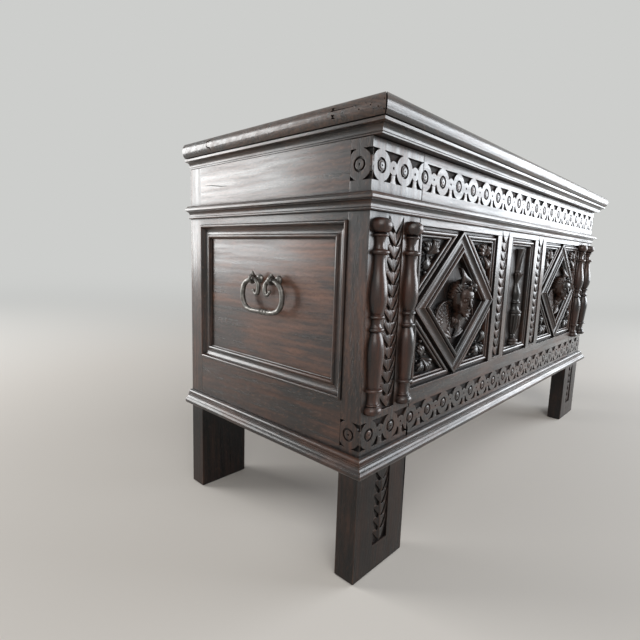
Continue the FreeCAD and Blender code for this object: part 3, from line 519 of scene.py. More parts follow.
def mitred_frame(name, corners, outward, profile, gap=0.12 * mm):
    """Mitred sticks round corners; the profile's places run inwards and outwards."""
    middle = sum(corners, Vector()) / len(corners)
    count = len(corners)
    overrun = max(place.x for place in profile) * 4
    sticks = []
    for i, start in enumerate(corners):
        end = corners[(i + 1) % count]
        along = (end - start).normalized()
        inward = outward.cross(along)
        if inward.dot(middle - start) < 0:
            inward = -inward
        before = (start - corners[i - 1]).normalized()
        beyond = (corners[(i + 2) % count] - end).normalized()
        first = start - along * overrun
        stick = prism(name, [first + inward * place.x + outward * place.y for place in profile],
                      along * ((end - start).length + overrun + overrun))
        edit(stick)
        for place, normal in ((end, (along + beyond).normalized()), (start, (-along - before).normalized())):
            slice_off(place - normal * gap, normal)
        leave()
        facing_out(stick)
        soften(stick, small_arris, angle=40)
        lay_grain(stick, along, f"{name} {i}")
        sticks.append(stick)
    return joined(name, sticks)


def turned(name, foot, profile, steps=28):
    """A turning split down its middle from radii and heights, with its flat back in the wood."""
    piece = flat_shape(name, [foot + X * place.x + Z * place.y for place in profile], "NOTHING")
    edit(piece, "EDGE")
    bpy.ops.mesh.spin(steps=steps, angle=math.pi, center=foot, axis=(0, 0, 1))
    leave()
    facing_out(piece)
    edit(piece, "EDGE", "DESELECT")
    bpy.ops.mesh.select_non_manifold()
    bpy.ops.mesh.edge_face_add()
    leave()
    facing_out(piece)
    smooth(piece, 40)
    return piece


def egg(centre, radii, along=Z, outward=-Y, segments=24, rings=16):
    """A ball with three radii: to its side, outwards and along a direction."""
    along = along.normalized()
    if abs(along.dot(outward)) > 0.99:
        outward = X
    out = (outward - along * along.dot(outward)).normalized()
    turn = Matrix((out.cross(along), out, along)).transposed()
    select_none()
    bpy.ops.mesh.primitive_uv_sphere_add(segments=segments, ring_count=rings, radius=1.0,
                                         location=centre, rotation=turn.to_euler(), scale=radii)
    bpy.ops.object.transform_apply(location=True, rotation=True, scale=True)
    return named("egg")


def strand(places, radii, resolution=3):
    """A round strand that swells and tapers along a smooth line."""
    curve = bpy.data.curves.new("strand", "CURVE")
    curve.dimensions = "3D"
    curve.bevel_depth = 1.0
    curve.bevel_resolution = resolution
    curve.resolution_u = 6
    curve.use_fill_caps = True
    spline = curve.splines.new("NURBS")
    spline.points.add(len(places) - 1)
    for point, place, radius in zip(spline.points, places, radii):
        point.co = (*place, 1)
        point.radius = radius
    spline.order_u = 3
    spline.use_endpoint_u = True
    piece = bpy.data.objects.new("strand", curve)
    bpy.context.scene.collection.objects.link(piece)
    take(piece)
    bpy.ops.object.convert(target="MESH")
    return bpy.context.object


def grown_together(name, pieces, voxel, passes):
    """Closed pieces that overlap, made one skin and smoothed."""
    piece = joined(name, pieces)
    apply(piece, "REMESH", mode="VOXEL", voxel_size=voxel)
    apply(piece, "SMOOTH", factor=0.5, iterations=passes)
    take(piece)
    bpy.ops.object.shade_smooth()
    return piece


# Marks of age

# On the lid's left end, in millimetres back from its front lower corner and up; the split is measured
# back from the joint before the rear board
split_line = [(-7, 33), (-6.6, 24.1), (9.1, 20.7), (8.1, 12.1), (-2.4, 8.8), (-5, -2)]
split_width, split_depth = 2.4 * mm, 14 * mm
notch_outline = [(-4.2, -2.8), (4.2, -2.8), (1.4, 0), (4.2, 2.8), (-4.2, 2.8), (-1.4, 0)]
notch_places = [(101, 9.9), (101, 20.3)]
wormholes = [(26.2, 16.6), (28.8, 14), (15.2, 9.7), (4.6, 18.1), (6, 5.4), (49.8, 11.5), (37.1, 17.9)]
wormhole_radius, wormhole_sides = 1.1, 8
pit_depth = 9 * mm
mitre_half_width, mitre_length, mitre_height = 1.2 * mm, 40 * mm, 32 * mm

# On the left end's top rail, in millimetres from its rear end, less being forwards, and up from below
shake_line = [(-37.7, 82.5), (-70, 80.8), (-101, 77), (-136, 75)]
shake_width, shake_depth = 1.6 * mm, 4.4 * mm
cutter_overrun = 2 * mm


def crack(places, width, reach):
    """A cutter for a crack that narrows to both ends."""
    inner = places[1:-1]
    halves = [reach.cross(after - before).normalized() * width / 2
              for before, after in zip(places, places[2:])]
    outline = [places[0], *(place + half for place, half in zip(inner, halves)), places[-1],
               *(place - half for place, half in reversed(list(zip(inner, halves))))]
    return prism("crack", outline, reach)


def mitre_crack(corner):
    """A cutter for the open mitre at the lid's front corner."""
    inward, across = Vector((1, 1, 0)).normalized(), Vector((1, -1, 0)).normalized()
    outer = corner - inward * 3 * mm - Z * mm
    outline = [outer + across * mitre_half_width, outer + inward * mitre_length,
               outer - across * mitre_half_width]
    return prism("mitre_crack", outline, Z * mitre_height)


def old_marks():
    """Cutters for the split, notches, wormholes and cracks of age, listed by node."""
    corner = limits("lid_board_front")[0]
    joint = limits("lid_board_rear")[0]

    def on_end(y, z, behind=corner.y):
        return Vector((corner.x - cutter_overrun, behind + y * mm, corner.z + z * mm))

    split = [on_end(y, z, joint.y) for y, z in split_line]
    marks = {node: [crack(split, split_width, X * split_depth)]
             for node in ("lid_board_middle", "lid_board_rear")}
    marks["lid_board_front"] = []
    for node in ("lid_board_front", "lid_board_middle"):
        for y, z in notch_places:
            outline = [on_end(y + back, z + up) for back, up in notch_outline]
            marks[node].append(prism("notch", outline, X * pit_depth))
    for y, z in wormholes:
        turns = [math.tau * i / wormhole_sides for i in range(wormhole_sides)]
        outline = [on_end(y + wormhole_radius * math.cos(turn), z + wormhole_radius * math.sin(turn))
                   for turn in turns]
        marks["lid_board_front"].append(prism("wormhole", outline, X * pit_depth))
    marks["lid_board_front"].append(mitre_crack(corner))
    rail_low, rail_high = limits("end_top_rail_left")
    shake = [Vector((rail_low.x - cutter_overrun, rail_high.y + y * mm, rail_low.z + z * mm))
             for y, z in shake_line]
    marks["end_top_rail_left"] = [crack(shake, shake_width, X * shake_depth)]
    return marks


# Boards, rails and plain mouldings

board_grain = {
    "stile_front": Z, "stile_rear": Z, "front_top_rail": X, "front_bottom_rail": X,
    "back_top_rail": X, "back_bottom_rail": X, "back_muntin": Z, "back_panel": X,
    "end_top_rail": Y, "end_bottom_rail": Y, "end_panel": Y, "muntin": Z,
    "front_panel": Z, "lid_board": X, "lid_batten": X, "lid_moulding_front": X,
    "lid_moulding_left": Y, "lid_moulding_right": Y, "mid_moulding_front": X,
    "mid_moulding_left": Y, "mid_moulding_right": Y, "base_moulding_front": X,
    "base_moulding_left": Y, "base_moulding_right": Y, "bottom_boards": Y}
board_arris, moulding_arris = 0.9 * mm, 0.4 * mm


def board(node, along, cutters):
    """A board of the frame with its leaf strips sunk, its marks cut and its arrises softened."""
    piece = merged_copy(node, node + "_worn")
    for strip in strips:
        if node in strip["boards"]:
            cut_away(piece, strip_recess(strip))
    for cutter in cutters:
        cut_away(piece, cutter)
    soften(piece, moulding_arris if "moulding" in node else board_arris, clamp=bool(cutters))
    lay_grain(piece, along)
    finish = next((finish for start, finish in board_finish.items() if node.startswith(start)), None)
    dress(piece, node_slot[node], [node], node_body[node], finish)


def build_boards():
    """Every plain board, rail and stick that keeps its own shape."""
    marks = old_marks()
    for node in sorted(nodes):
        for start, along in board_grain.items():
            if node.startswith(start):
                board(node, along, marks.get(node, []))


# Leaf strips

leaf_pitch = 21.6

# Half of one leaf, in millimetres: its body below and its arm above
leaf_body = [(0, 0), (3, 3.3), (8, 8.5), (14, 15), (18, 20.5), (19.2, 22.5), (9, 22), (6, 20.2),
             (3.6, 20.6), (2.6, 22.5), (2.6, 27), (0, 27)]
leaf_arm = [(19.2, 22.5), (20.5, 26), (20.5, 45), (18.9, 38.5), (16.5, 32.5), (13, 26.5), (9, 22)]
leaf_edge = leaf_body[:5] + [(20.5, 26)]
leaf_thickness = 4.6
bed_half_width, bed_depth = 21.1 * mm, 6.2 * mm

# Lower and upper end of each strip's bed, above the floor
strip_heights = {"stile": (302 * mm, 626 * mm), "leg": (52 * mm, 196 * mm), "muntin": (327 * mm, 628 * mm)}


def strip_places():
    """Where the strips run: between the balusters, down the front legs and on the muntins."""
    found = []
    for hand in ends:
        stile, muntin = "stile_front_" + hand, "muntin_" + hand
        boards_of = {"stile": [stile], "leg": [stile], "muntin": [muntin, "front_top_rail"]}
        for name, boards in boards_of.items():
            low, high = limits(boards[0])
            foot, top = strip_heights[name]
            found.append({"name": f"{name}_leaves_{hand}", "x": (low.x + high.x) / 2,
                          "low": foot, "high": top, "boards": boards})
    return found


strips = strip_places()


def strip_recess(strip):
    """The sunk bed of a strip, with a head shaped like the gap between two leaf arms."""
    x, top = strip["x"], strip["high"]
    front = front_face - mm
    drop = leaf_edge[-1][1]
    head = [Vector((x + side * place[0] * mm, front, top + (place[1] - drop) * mm))
            for side, run in ((1, leaf_edge[::-1]), (-1, leaf_edge[1:])) for place in run]
    bed = [Vector((x + side * bed_half_width, front, z)) for side, z in
           ((-1, top), (-1, strip["low"]), (1, strip["low"]), (1, top))]
    return prism(strip["name"] + "_bed", head + bed, Y * bed_depth)


def leaf_half(outline, height):
    """One part of half a leaf, raised by height at each place, all in millimetres."""
    return flat_shape("leaf", [Vector((x, -height(x, z), z)) * mm for x, z in outline])


def one_leaf():
    """A leaf with its tip at the origin: the tip is raised, the root sinks and two arms rise beside it."""
    leaf = joined("leaf", [leaf_half(leaf_body, lambda x, z: -0.075 * z - 0.05 * x),
                           leaf_half(leaf_arm, lambda x, z: -1.65 + 0.06 * (z - 22) - 0.05 * x)])
    facing_out(leaf, merge=0.05 * mm)
    edit(leaf)
    bpy.ops.mesh.extrude_region_move(TRANSFORM_OT_translate={"value": Y * leaf_thickness * mm})
    leave()
    apply(leaf, "MIRROR", use_axis=(True, False, False), merge_threshold=0.02 * mm)
    facing_out(leaf, merge=0.01 * mm)
    ease(leaf, 0.7 * mm)
    return leaf


def build_leaf_strips():
    """Overlapping leaves in every sunk strip."""
    leaf = one_leaf()
    for strip in strips:
        first = strip["high"] - (leaf_edge[-1][1] + leaf_pitch) * mm
        last = strip["low"] + 1.5 * mm
        gaps = round((first - last) / (leaf_pitch * mm))
        copies = []
        for i in range(gaps + 1):
            copy = copy_of(leaf, (strip["x"], front_face + 0.3 * mm, first - i * (first - last) / gaps))
            lay_grain(copy, Z, f"{strip['name']} {i % 3}")
            copies.append(copy)
        dress(joined(strip["name"], copies), "framing_oak")
    bpy.data.objects.remove(leaf)


# Mouldings planted on the front and ends; each profile is given inwards and outwards, in millimetres

lozenge_profile = rounded([
    (0, 0), (0, 13.6), (0.5, 14.2), (4.3, 14.2), (4.8, 13.4), (13.5, 8.8, 22.0, 13.6), (23.2, 13.9),
    (23.7, 10.4), (25.4, 10.4), (25.7, 12.8), (29.6, 17.2, 33.4, 13.2), (34.2, 11.2), (36, 10.4),
    (36, 0)], 8)
sight_profile = rounded([
    (0, 0), (0, 6.4), (5.2, 6.4), (6.2, 7.4), (9.6, 12, 13, 8.4), (13.6, 6.4), (16, 9.2, 18.4, 6),
    (19, 4.6), (19, 0)], 5)
end_profile = rounded([
    (0, 0), (0, 10.4), (3, 13, 6.4, 10.6), (7.2, 8.6), (12.5, 4.6, 20.4, 4.2), (21, 5.4),
    (24.6, 7.2, 28, 4.8), (28.5, 2.2), (30, 1.6), (30, 0)], 6)


def on_ground(x, z):
    """A place on the ground of the front panels."""
    return Vector((x, ground, z))


def build_lozenge(hand):
    """Four sticks with a fillet, a broad hollow, a quirk and an inner bead."""
    node = "lozenge_" + hand
    low, high = limits(node)
    middle = (low + high) / 2
    corners = [on_ground(high.x, middle.z), on_ground(middle.x, high.z),
               on_ground(low.x, middle.z), on_ground(middle.x, low.z)]
    dress(mitred_frame(node + "_sticks", corners, -Y, lozenge_profile), "carved_oak", [node])


def build_sight_frames(hand):
    """The triangular frames in the corners of one lozenge panel."""
    node = "sight_moulding_" + hand
    low, high = limits("lozenge_" + hand)
    middle = (low + high) / 2
    half = (high - low) / 2
    beyond, fit = 0.2 * mm, 0.35 * mm
    slope = half.z / half.x
    slant = fit * math.hypot(1, slope)
    frames = []
    for side in (-1, 1):
        for rise in (-1, 1):
            x = middle.x + side * (half.x + beyond)
            z = middle.z + rise * (half.z + beyond)
            beside = on_ground(x, middle.z + rise * (slant + fit))
            above = on_ground(middle.x + side * (slant + fit) / slope, z)
            frames.append(mitred_frame(f"{node}_{side}_{rise}", [on_ground(x, z), above, beside], -Y,
                                       sight_profile))
    dress(joined(node + "_sticks", frames), "framing_oak", [node])


def build_centre_frame():
    """The frame of four sticks round the urn."""
    node = "sight_moulding_centre"
    low, high = limits(node)
    corners = [on_ground(low.x, low.z), on_ground(high.x, low.z), on_ground(high.x, high.z),
               on_ground(low.x, high.z)]
    dress(mitred_frame(node + "_sticks", corners, -Y, sight_profile), "framing_oak", [node])


def build_end_frame(hand):
    """The mitred moulding round an end panel: bead, hollow and inner bead."""
    node = "end_moulding_" + hand
    low, high = limits(node)
    wall = high.x if hand == "left" else low.x
    corners = [Vector((wall, y, z)) for y, z in
               ((low.y, low.z), (high.y, low.z), (high.y, high.z), (low.y, high.z))]
    piece = mitred_frame(node + "_sticks", corners, X * ends[hand], end_profile)
    dress(piece, "framing_oak", [node])


# Turned work; each profile is of radii and heights in millimetres

baluster_profile = rounded([
    (0, 0), (13, 0.6), (18.2, 7.6, 13.4, 14.6), (12.6, 15.8), (14.4, 17.6, 12.4, 19.4),
    (10.8, 30, 12.6, 38.6), (15.4, 39.6), (17.8, 42.4, 15.4, 45.2), (13, 46.6), (14.8, 66, 16.6, 88),
    (17.8, 108, 15.6, 124), (13.4, 131.4, 10.6, 138.4), (13, 139.8), (15.8, 142.8, 12.4, 145.8),
    (9.8, 153, 11.6, 160), (13.8, 161), (15.8, 163.4, 13.6, 165.8), (11.6, 168), (17, 182, 18.2, 201),
    (16.6, 216, 14.2, 229), (12, 244, 11.6, 259), (12.2, 261.2), (15.8, 262.4), (18, 265.6, 15.8, 268.8),
    (10.4, 271), (9, 281, 11.4, 289.4), (13.8, 290.2), (15.4, 292, 13.6, 293.8), (11.4, 295),
    (20.4, 307.6, 7.5, 318.9), (0, 320)], 7)
urn_profile = rounded([
    (0, 0), (18.6, 0), (19.2, 1), (19.2, 4), (18, 5), (15, 5.6), (17.6, 7.4), (18.2, 11, 15, 15),
    (9.2, 18.6), (8, 20.6), (10.6, 23.2, 9.2, 26), (11.5, 29), (15.2, 35), (18.2, 45),
    (20.2, 62, 20.4, 79), (18.8, 81.4), (18.8, 83), (20.8, 84), (20.8, 87.6), (18.4, 89.6),
    (13.6, 96, 12.4, 105), (12.2, 107.4), (14.2, 108.8), (16.2, 111, 14.6, 114), (11.8, 116.6),
    (11.6, 121), (14.6, 133, 12.2, 145), (8, 156), (7, 162), (8.2, 168), (13.4, 178), (16.4, 186),
    (14.4, 188), (10.2, 190), (9.4, 195), (10.6, 208), (13.2, 228), (17.4, 246), (18, 250), (0, 250)], 5)
urn_steps = 64
cup_heights, flower_heights = (27 * mm, 80 * mm), (192 * mm, 249 * mm)
flute_depth, petal_depth = 2.0 * mm, 2.6 * mm
urn_leaf_height = 168 * mm
urn_leaf_radii = [2.0 * mm, 3.4 * mm, 2.6 * mm, 0.9 * mm]


def build_balusters():
    """Split balusters planted on the front stiles."""
    for hand in ends:
        for place in ("outer", "inner"):
            node = f"baluster_{hand}_{place}"
            low, high = limits(node)
            foot = Vector(((low.x + high.x) / 2, front_face, low.z))
            piece = turned(node + "_turned", foot, baluster_profile)
            lay_grain(piece, Z)
            dress(piece, "turned_oak", [node])


def cut_flutes(piece, foot):
    """Sink upright flutes into the urn's cup and slanting folds between its flower's petals."""
    cup_low, cup_high = (foot.z + height for height in cup_heights)
    flower_low, flower_high = (foot.z + height for height in flower_heights)
    for vertex in piece.data.vertices:
        place = vertex.co
        if place.y > ground - 0.5 * mm:
            continue
        angle = math.atan2(ground - place.y, place.x - foot.x)
        depth = 0.0
        if cup_low < place.z < cup_high:
            fade = min(1, (cup_high - place.z) / (4 * mm), (place.z - cup_low) / (12 * mm))
            depth = flute_depth * fade * abs(math.cos(angle * 8)) ** 0.7
        elif flower_low < place.z < flower_high:
            climb = (place.z - flower_low) / (flower_high - flower_low)
            depth = petal_depth * abs(math.sin(angle * 2 + climb * 1.4)) ** 3
        vertex.co.x -= math.cos(angle) * depth
        vertex.co.y += math.sin(angle) * depth


def build_urn():
    """A carved urn with a fluted cup, and a tall flower with curling leaves standing in it."""
    low, high = limits("carved_urn")
    foot = Vector(((low.x + high.x) / 2, ground, low.z))
    piece = turned("urn_turned", foot, urn_profile, urn_steps)
    cut_flutes(piece, foot)
    pieces = [piece]
    for spread in (-0.9, 0, 0.9, -1.35, 1.35):
        way = Vector((math.sin(spread), -math.cos(spread), 0))
        root = foot + Z * urn_leaf_height + way * 6 * mm
        places = [root, root + Z * 9 * mm + way * 4 * mm, root + Z * 17 * mm + way * 9 * mm,
                  root + Z * 18.5 * mm + way * 12.5 * mm]
        pieces.append(strand(places, urn_leaf_radii))
    seat(grown_together("urn", pieces, voxel=0.9 * mm, passes=1), "carved_urn")


# Carving in the panels

def seat(piece, node):
    """Cut a carving flat where it meets the panel's ground, and dress it in the place of its node."""
    edit(piece)
    slice_off(Vector((0, ground, 0)), Y)
    leave()
    piece.data.validate()
    lay_grain(piece, Z)
    dress(piece, "carved_oak", [node])


head_turn = Matrix.Rotation(math.radians(-12), 3, "Z") @ Matrix.Rotation(math.radians(5), 3, "X")
head_unit = 1.15 * mm

# Places and radii in head units, seen from the head's own middle: to its side, outwards and up
head_forms = [
    ((0, -4, 5), (24, 21, 29)), ((0, 3, -7), (18.5, 18, 22)), ((0, 10, 8), (17, 12, 15)),
    ((-9.5, 11.5, -11), (7.5, 6.5, 7.5)), ((9.5, 11.5, -11), (7.5, 6.5, 7.5)),
    ((0, 13, -20), (10, 6, 7)), ((0, 14.5, -26), (6.5, 5, 5))]
neck = ([(0, 2, -22), (0, -5, -32), (0, -14, -40), (0, -24, -46)], [12, 12.5, 15, 18])
head_hollows = [
    ((-8.2, 18, 0.5), 5.5, 3.4), ((8.2, 18, 0.5), 5.5, 3.4), ((0, 20, -22.8), 3.2, 1.0),
    ((-7.4, 17.5, -18.5), 2.6, 1.0), ((7.4, 17.5, -18.5), 2.6, 1.0)]
features = [
    ([(0, 19.4, 5), (0, 21, -3), (0, 24.6, -9.6), (0, 24, -12)], [2.0, 2.0, 2.9, 2.3]),
    ([(-6.2, 17.6, -17.6), (-2.2, 20.2, -16.7), (0, 20, -17.3), (2.2, 20.2, -16.7), (6.2, 17.6, -17.6)],
     [0.5, 1.3, 1.2, 1.3, 0.5]),
    ([(-5, 17.8, -18.9), (0, 20.2, -20.1), (5, 17.8, -18.9)], [0.5, 1.7, 0.5])]
paired_features = [
    ([(3.6, 17.2, -0.6), (8.2, 20, 3), (13, 15.6, -0.6)], [0.8, 1.0, 0.7]),
    ([(4, 17, -1), (8.2, 19, -3.2), (12.6, 15.8, -1)], [0.6, 0.8, 0.5]),
    ([(3, 20, 5.4), (8, 20.6, 8.2), (14.6, 15.2, 6)], [1.4, 1.5, 0.9])]
paired_balls = [((8.2, 14.7, 0), (4.6, 4.4, 4.0)), ((2.9, 21, -11.8), (2.2, 2.2, 1.9))]
locks_a_side = 9
lock_radii = [1.6, 2.9, 3.3, 3.2, 2.8, 1.4]
tuft = [
    ([(1, 14, 21), (5, 17, 26), (11, 17.5, 28.5), (16, 15, 24), (15.5, 15.5, 18), (11, 18, 18.5),
      (10, 18.5, 22.5)], [2.4, 3.2, 3.5, 3.5, 3.2, 2.6, 1.8]),
    ([(-4, 13.5, 22), (0, 17, 24.5), (3.5, 18.5, 20.5), (1, 18.8, 17.5)], [2.2, 3.0, 2.6, 1.6]),
    ([(18, 10, 22), (22, 6, 18), (23.5, 3, 10), (22, 6, 4)], [2.0, 3.4, 3.4, 1.8])]


def swept_hair():
    """Locks that sweep back from the brow in rows, six that rise over it, and a curled tuft."""
    hair = []
    for side in (-1, 1):
        for k in range(locks_a_side):
            share = k / (locks_a_side - 1)
            start, lift = 6 + 80 * share, 54 - 52 * share - 14 * share * share
            path = []
            for j in range(len(lock_radii)):
                turn = math.radians(side * (start + j * 15))
                tilt = math.radians(lift + 7 * math.sin(j * 1.9 + k * 1.3) + 5 * j * (1 - share))
                path.append((25.5 * math.sin(turn) * math.cos(tilt),
                             -4 + 23 * math.cos(turn) * math.cos(tilt), 5 + 30.5 * math.sin(tilt)))
            hair.append((path, lock_radii))
    for i in range(6):
        path = [(5 * i - 13, 6, 27), (4.4 * i - 14, 9.5, 37 - 0.8 * i), (3.4 * i - 15, 9, 47 - 2 * i),
                (2.2 * i - 15, 4, 55 - 2.6 * i), (1.6 * i - 14, -3, 55 - 2.6 * i)]
        hair.append((path, [2.4, 3.1, 3.3, 3.0, 1.8]))
    return hair + tuft


def carve_head(hand, panel_middle):
    """A calm child's head with swept hair and a tuft over the brow."""
    centre = Vector((panel_middle.x, ground - 16.5 * mm, panel_middle.z + 10 * mm))
    outward = head_turn @ -Y

    def at(place):
        return centre + head_turn @ Vector((place[0], -place[1], place[2])) * head_unit

    def locks(paths):
        return [strand([at(place) for place in path], [radius * head_unit for radius in radii])
                for path, radii in paths]

    def ball(place, radii):
        return egg(at(place), [radius * head_unit for radius in radii], Z, outward)

    forms = [ball(place, radii) for place, radii in head_forms] + locks([neck])
    skull = grown_together("head", forms, voxel=0.9 * mm, passes=3)
    for vertex in skull.data.vertices:
        for place, reach, depth in head_hollows:
            share = math.exp(-((vertex.co - at(place)).length / (reach * head_unit)) ** 2)
            vertex.co -= outward * depth * head_unit * share
    pieces = [skull]
    for side in (-1, 1):
        pieces += [ball((side * x, y, z), radii) for (x, y, z), radii in paired_balls]
        pieces += locks([([(side * x, y, z) for x, y, z in path], radii) for path, radii in paired_features])
    pieces += locks(features)
    pieces += locks(swept_hair())
    return grown_together("head_" + hand, pieces, voxel=0.75 * mm, passes=1)


# Rows of feathers in millimetres: radius of the row, height, how many, and length of one
feather_rows = [(30.5, 4.6, 15, 7.5), (21.5, 6, 12, 8), (12.5, 7, 8, 7.5)]


def carve_wings(hand, panel_middle):
    """Two round wings with a beaded edge and rows of feathers, bound under the neck."""
    pieces = []
    for side in (-1, 1):
        root = Vector((panel_middle.x + side * 43 * mm, ground, panel_middle.z - 32 * mm))

        def about(angle, reach, out, root=root, side=side):
            turn = math.radians(angle)
            return root + Vector((side * math.cos(turn) * reach, -out, math.sin(turn) * reach)) * mm

        pieces.append(egg(root - Y * mm, (38 * mm, 5 * mm, 38 * mm)))
        pieces.append(strand([about(-24 + 21 * i, 39, 6.5) for i in range(11)],
                             [(1.3 + 1.0 * math.sin(math.pi * i / 10)) * mm for i in range(11)]))
        for reach, out, count, length in feather_rows:
            for i in range(count):
                angle = -22 + 212 * i / (count - 1)
                along = about(angle, reach, 0) - about(angle, 0, 0)
                radii = (3.6 * mm, 2.8 * mm, length * mm)
                pieces.append(egg(about(angle, reach, out - 2), radii, along))
        for i in range(4):
            inner = panel_middle + Vector((side * (15 - 4 * i), 0, -58 - 5 * i)) * mm
            inner.y = ground - 2 * mm
            start = about(205 + 20 * i, 20 + 3 * i, 3.5)
            bend = (start + inner) / 2 - Y * 2 * mm - Z * 3 * mm
            pieces.append(strand([start, bend, inner], [4.2 * mm, 4.6 * mm, 2.2 * mm]))
    for i in range(5):
        place = Vector((panel_middle.x + (i - 2) * 8 * mm, ground - (14 - 2 * abs(i - 2)) * mm,
                        panel_middle.z + (-37 + 2.4 * abs(i - 2)) * mm))
        pieces.append(egg(place, (5 * mm, 4.4 * mm, 7 * mm)))
    return grown_together("wings_" + hand, pieces, voxel=0.9 * mm, passes=1)


def build_winged_head(hand):
    """A winged head in high relief in the middle of a lozenge."""
    low, high = limits("lozenge_" + hand)
    middle = (low + high) / 2
    pieces = [carve_head(hand, middle), carve_wings(hand, middle)]
    seat(joined("winged_head_carved_" + hand, pieces), "winged_head_" + hand)


# Leaves of one spray in millimetres from the inner corner: root, tip, how many fingers, spread in degrees
spray_leaves = [((33, 29), (57, 8), 4, 27), ((29, 27), (12, 9), 3, 25), ((26, 31), (13, 57), 4, 19)]
spray_buds = [((22, 64), 3.8), ((41, 36), 3.2), ((66, 8), 3.6), ((10, 27), 3.4)]

# Share of a finger's length, height and radius in millimetres
finger_line = [(0, 2, 2.0), (0.4, 8, 3.0), (0.75, 10.5, 3.9), (1.0, 8, 3.4), (1.05, 3.5, 2.0)]
spray_inset = 19


def build_foliage(hand):
    """A spray of fingered leaves and buds in each corner of a lozenge panel."""
    low, high = limits("sight_moulding_" + hand)
    sprays = []
    for side in (-1, 1):
        for rise in (-1, 1):
            corner = Vector((high.x if side > 0 else low.x, ground, high.z if rise > 0 else low.z))
            corner -= Vector((side, 0, rise)) * spray_inset * mm

            def at(place, out, corner=corner, side=side, rise=rise):
                return corner + Vector((-side * place[0], -out, -rise * place[1])) * mm

            for root, tip, fingers, spread in spray_leaves:
                run = Vector(tip) - Vector(root)
                for i in range(fingers):
                    fan = 2 * i / (fingers - 1) - 1
                    way = Matrix.Rotation(math.radians(spread * fan), 2) @ run
                    reach = 1 - 0.18 * abs(fan)
                    sprays.append(strand([at(Vector(root) + way * share * reach, out)
                                          for share, out, radius in finger_line],
                                         [radius * mm for share, out, radius in finger_line]))
            for place, radius in spray_buds:
                sprays.append(egg(at(place, 3.5), [radius * mm] * 3))
    piece = grown_together("corner_foliage_carved_" + hand, sprays, voxel=0.8 * mm, passes=1)
    seat(piece, "corner_foliage_" + hand)


# Guilloche: its rings are cut in the frame's own rails, and the outlines here are in millimetres

ring_pitch = 63.4 * mm
rings_a_side = 10
band_heights = {"upper": 699 * mm, "lower": 266 * mm}
tongue_drop = 24 * mm
button_profile = [(0, -3), (0, -0.8), (1.1, -0.6), (1.5, 0.9), (4.6, 0.8), (6.8, 0.2), (7.7, -1), (7.7, -3)]
tongue_half = [(9, 0), (6.4, 3.4), (5.2, 7.5), (5.6, 13)]
link_outline = [(0, -11.5), (4.5, -10.6), (9, -9), (9, 9), (4.5, 10.6), (0, 11.5)]


def ring_button():
    """A domed button with a drilled middle."""
    button = flat_shape("button", [Vector((radius, -height, 0)) * mm for radius, height in button_profile],
                        "NOTHING")
    edit(button, "EDGE")
    bpy.ops.mesh.spin(steps=24, angle=math.tau, center=(0, 0, 0), axis=(0, 1, 0))
    leave()
    facing_out(button)
    smooth(button, 50)
    return button


def flat_carving(name, outline, depth):
    """A small flat piece with eased arrises, its face at the origin."""
    piece = prism(name, [Vector((x, 0, z)) * mm for x, z in outline], Y * depth)
    ease(piece, small_arris)
    return piece


def build_guilloche():
    """Buttons in the rings, tongues between them below, and a half link at each end of a band."""
    button = ring_button()
    tongue = flat_carving("tongue", tongue_half + [(-x, z) for x, z in reversed(tongue_half)], 3.8 * mm)
    link = flat_carving("corner_link", link_outline, 9 * mm)
    corner_x = limits("stile_front_right")[1].x
    for band, height in band_heights.items():
        copies = []
        for side in (-1, 1):
            place = (side * corner_x - side * 0.1 * mm, front_face + 0.1 * mm, height)
            copy = copy_of(link, place, mirrored=side > 0)
            lay_grain(copy, X, f"{band} corner {side}")
            copies.append(copy)
        for i in range(-rings_a_side, rings_a_side + 1):
            ring = [(button, (i * ring_pitch, front_face, height))]
            if i < rings_a_side:
                ring.append((tongue, ((i + 0.5) * ring_pitch, front_face + 0.12 * mm, height - tongue_drop)))
            for model, place in ring:
                copy = copy_of(model, place)
                lay_grain(copy, X, f"{band} {i}")
                copies.append(copy)
        dress(joined(f"guilloche_buttons_{band}", copies), "framing_oak")
    for model in (button, tongue, link):
        bpy.data.objects.remove(model)


# Ironwork, in millimetres from the middle of a handle's axis: along it, up and outwards

handle_standoff = 19 * mm
bail_half = [
    (23.5, -22.5, 0.5), (20, -28, 0.5), (12.5, -28, 0), (8.8, -18, 0), (10.8, -8, 0), (17, -1.5, 0),
    (23, 0, 0), (29, 0, 0), (36, -1, 0), (45, -4.5, 0), (54.5, -12, 0), (58.8, -27, 0), (57.5, -42, 0),
    (49, -54.5, 0), (36, -60, 0), (18, -60.5, 0)]
bail_radii = [2.0, 3.2, 4.0, 4.5, 4.2, 3.9, 3.7, 3.8, 4.1, 4.6, 4.9, 5.0, 5.0, 4.9, 4.8, 4.8]
stud_spread = 27.5


def forge_bail(hand, at):
    """A forged bail with curled tips and three grip rings."""
    path = [at(*place) for place in bail_half] + [at(-y, z, out) for y, z, out in reversed(bail_half)]
    radii = [radius * mm for radius in bail_radii + bail_radii[::-1]]
    pieces = [strand(path, radii, resolution=5)]
    for i in (-2, -1, 0):
        pieces.append(egg(at(i * 8.4, -60.5), (6.6 * mm, 6.6 * mm, 2.2 * mm), Vector((0, 0.9, -0.42))))
    for side in (-1, 1):
        pieces.append(egg(at(side * 24, -21.5, 0.5), [3.2 * mm] * 3))
    bail = grown_together("bail_forged_" + hand, pieces, voxel=0.8 * mm, passes=2)
    dress(bail, "wrought_iron", ["bail_" + hand], "bail_" + hand)


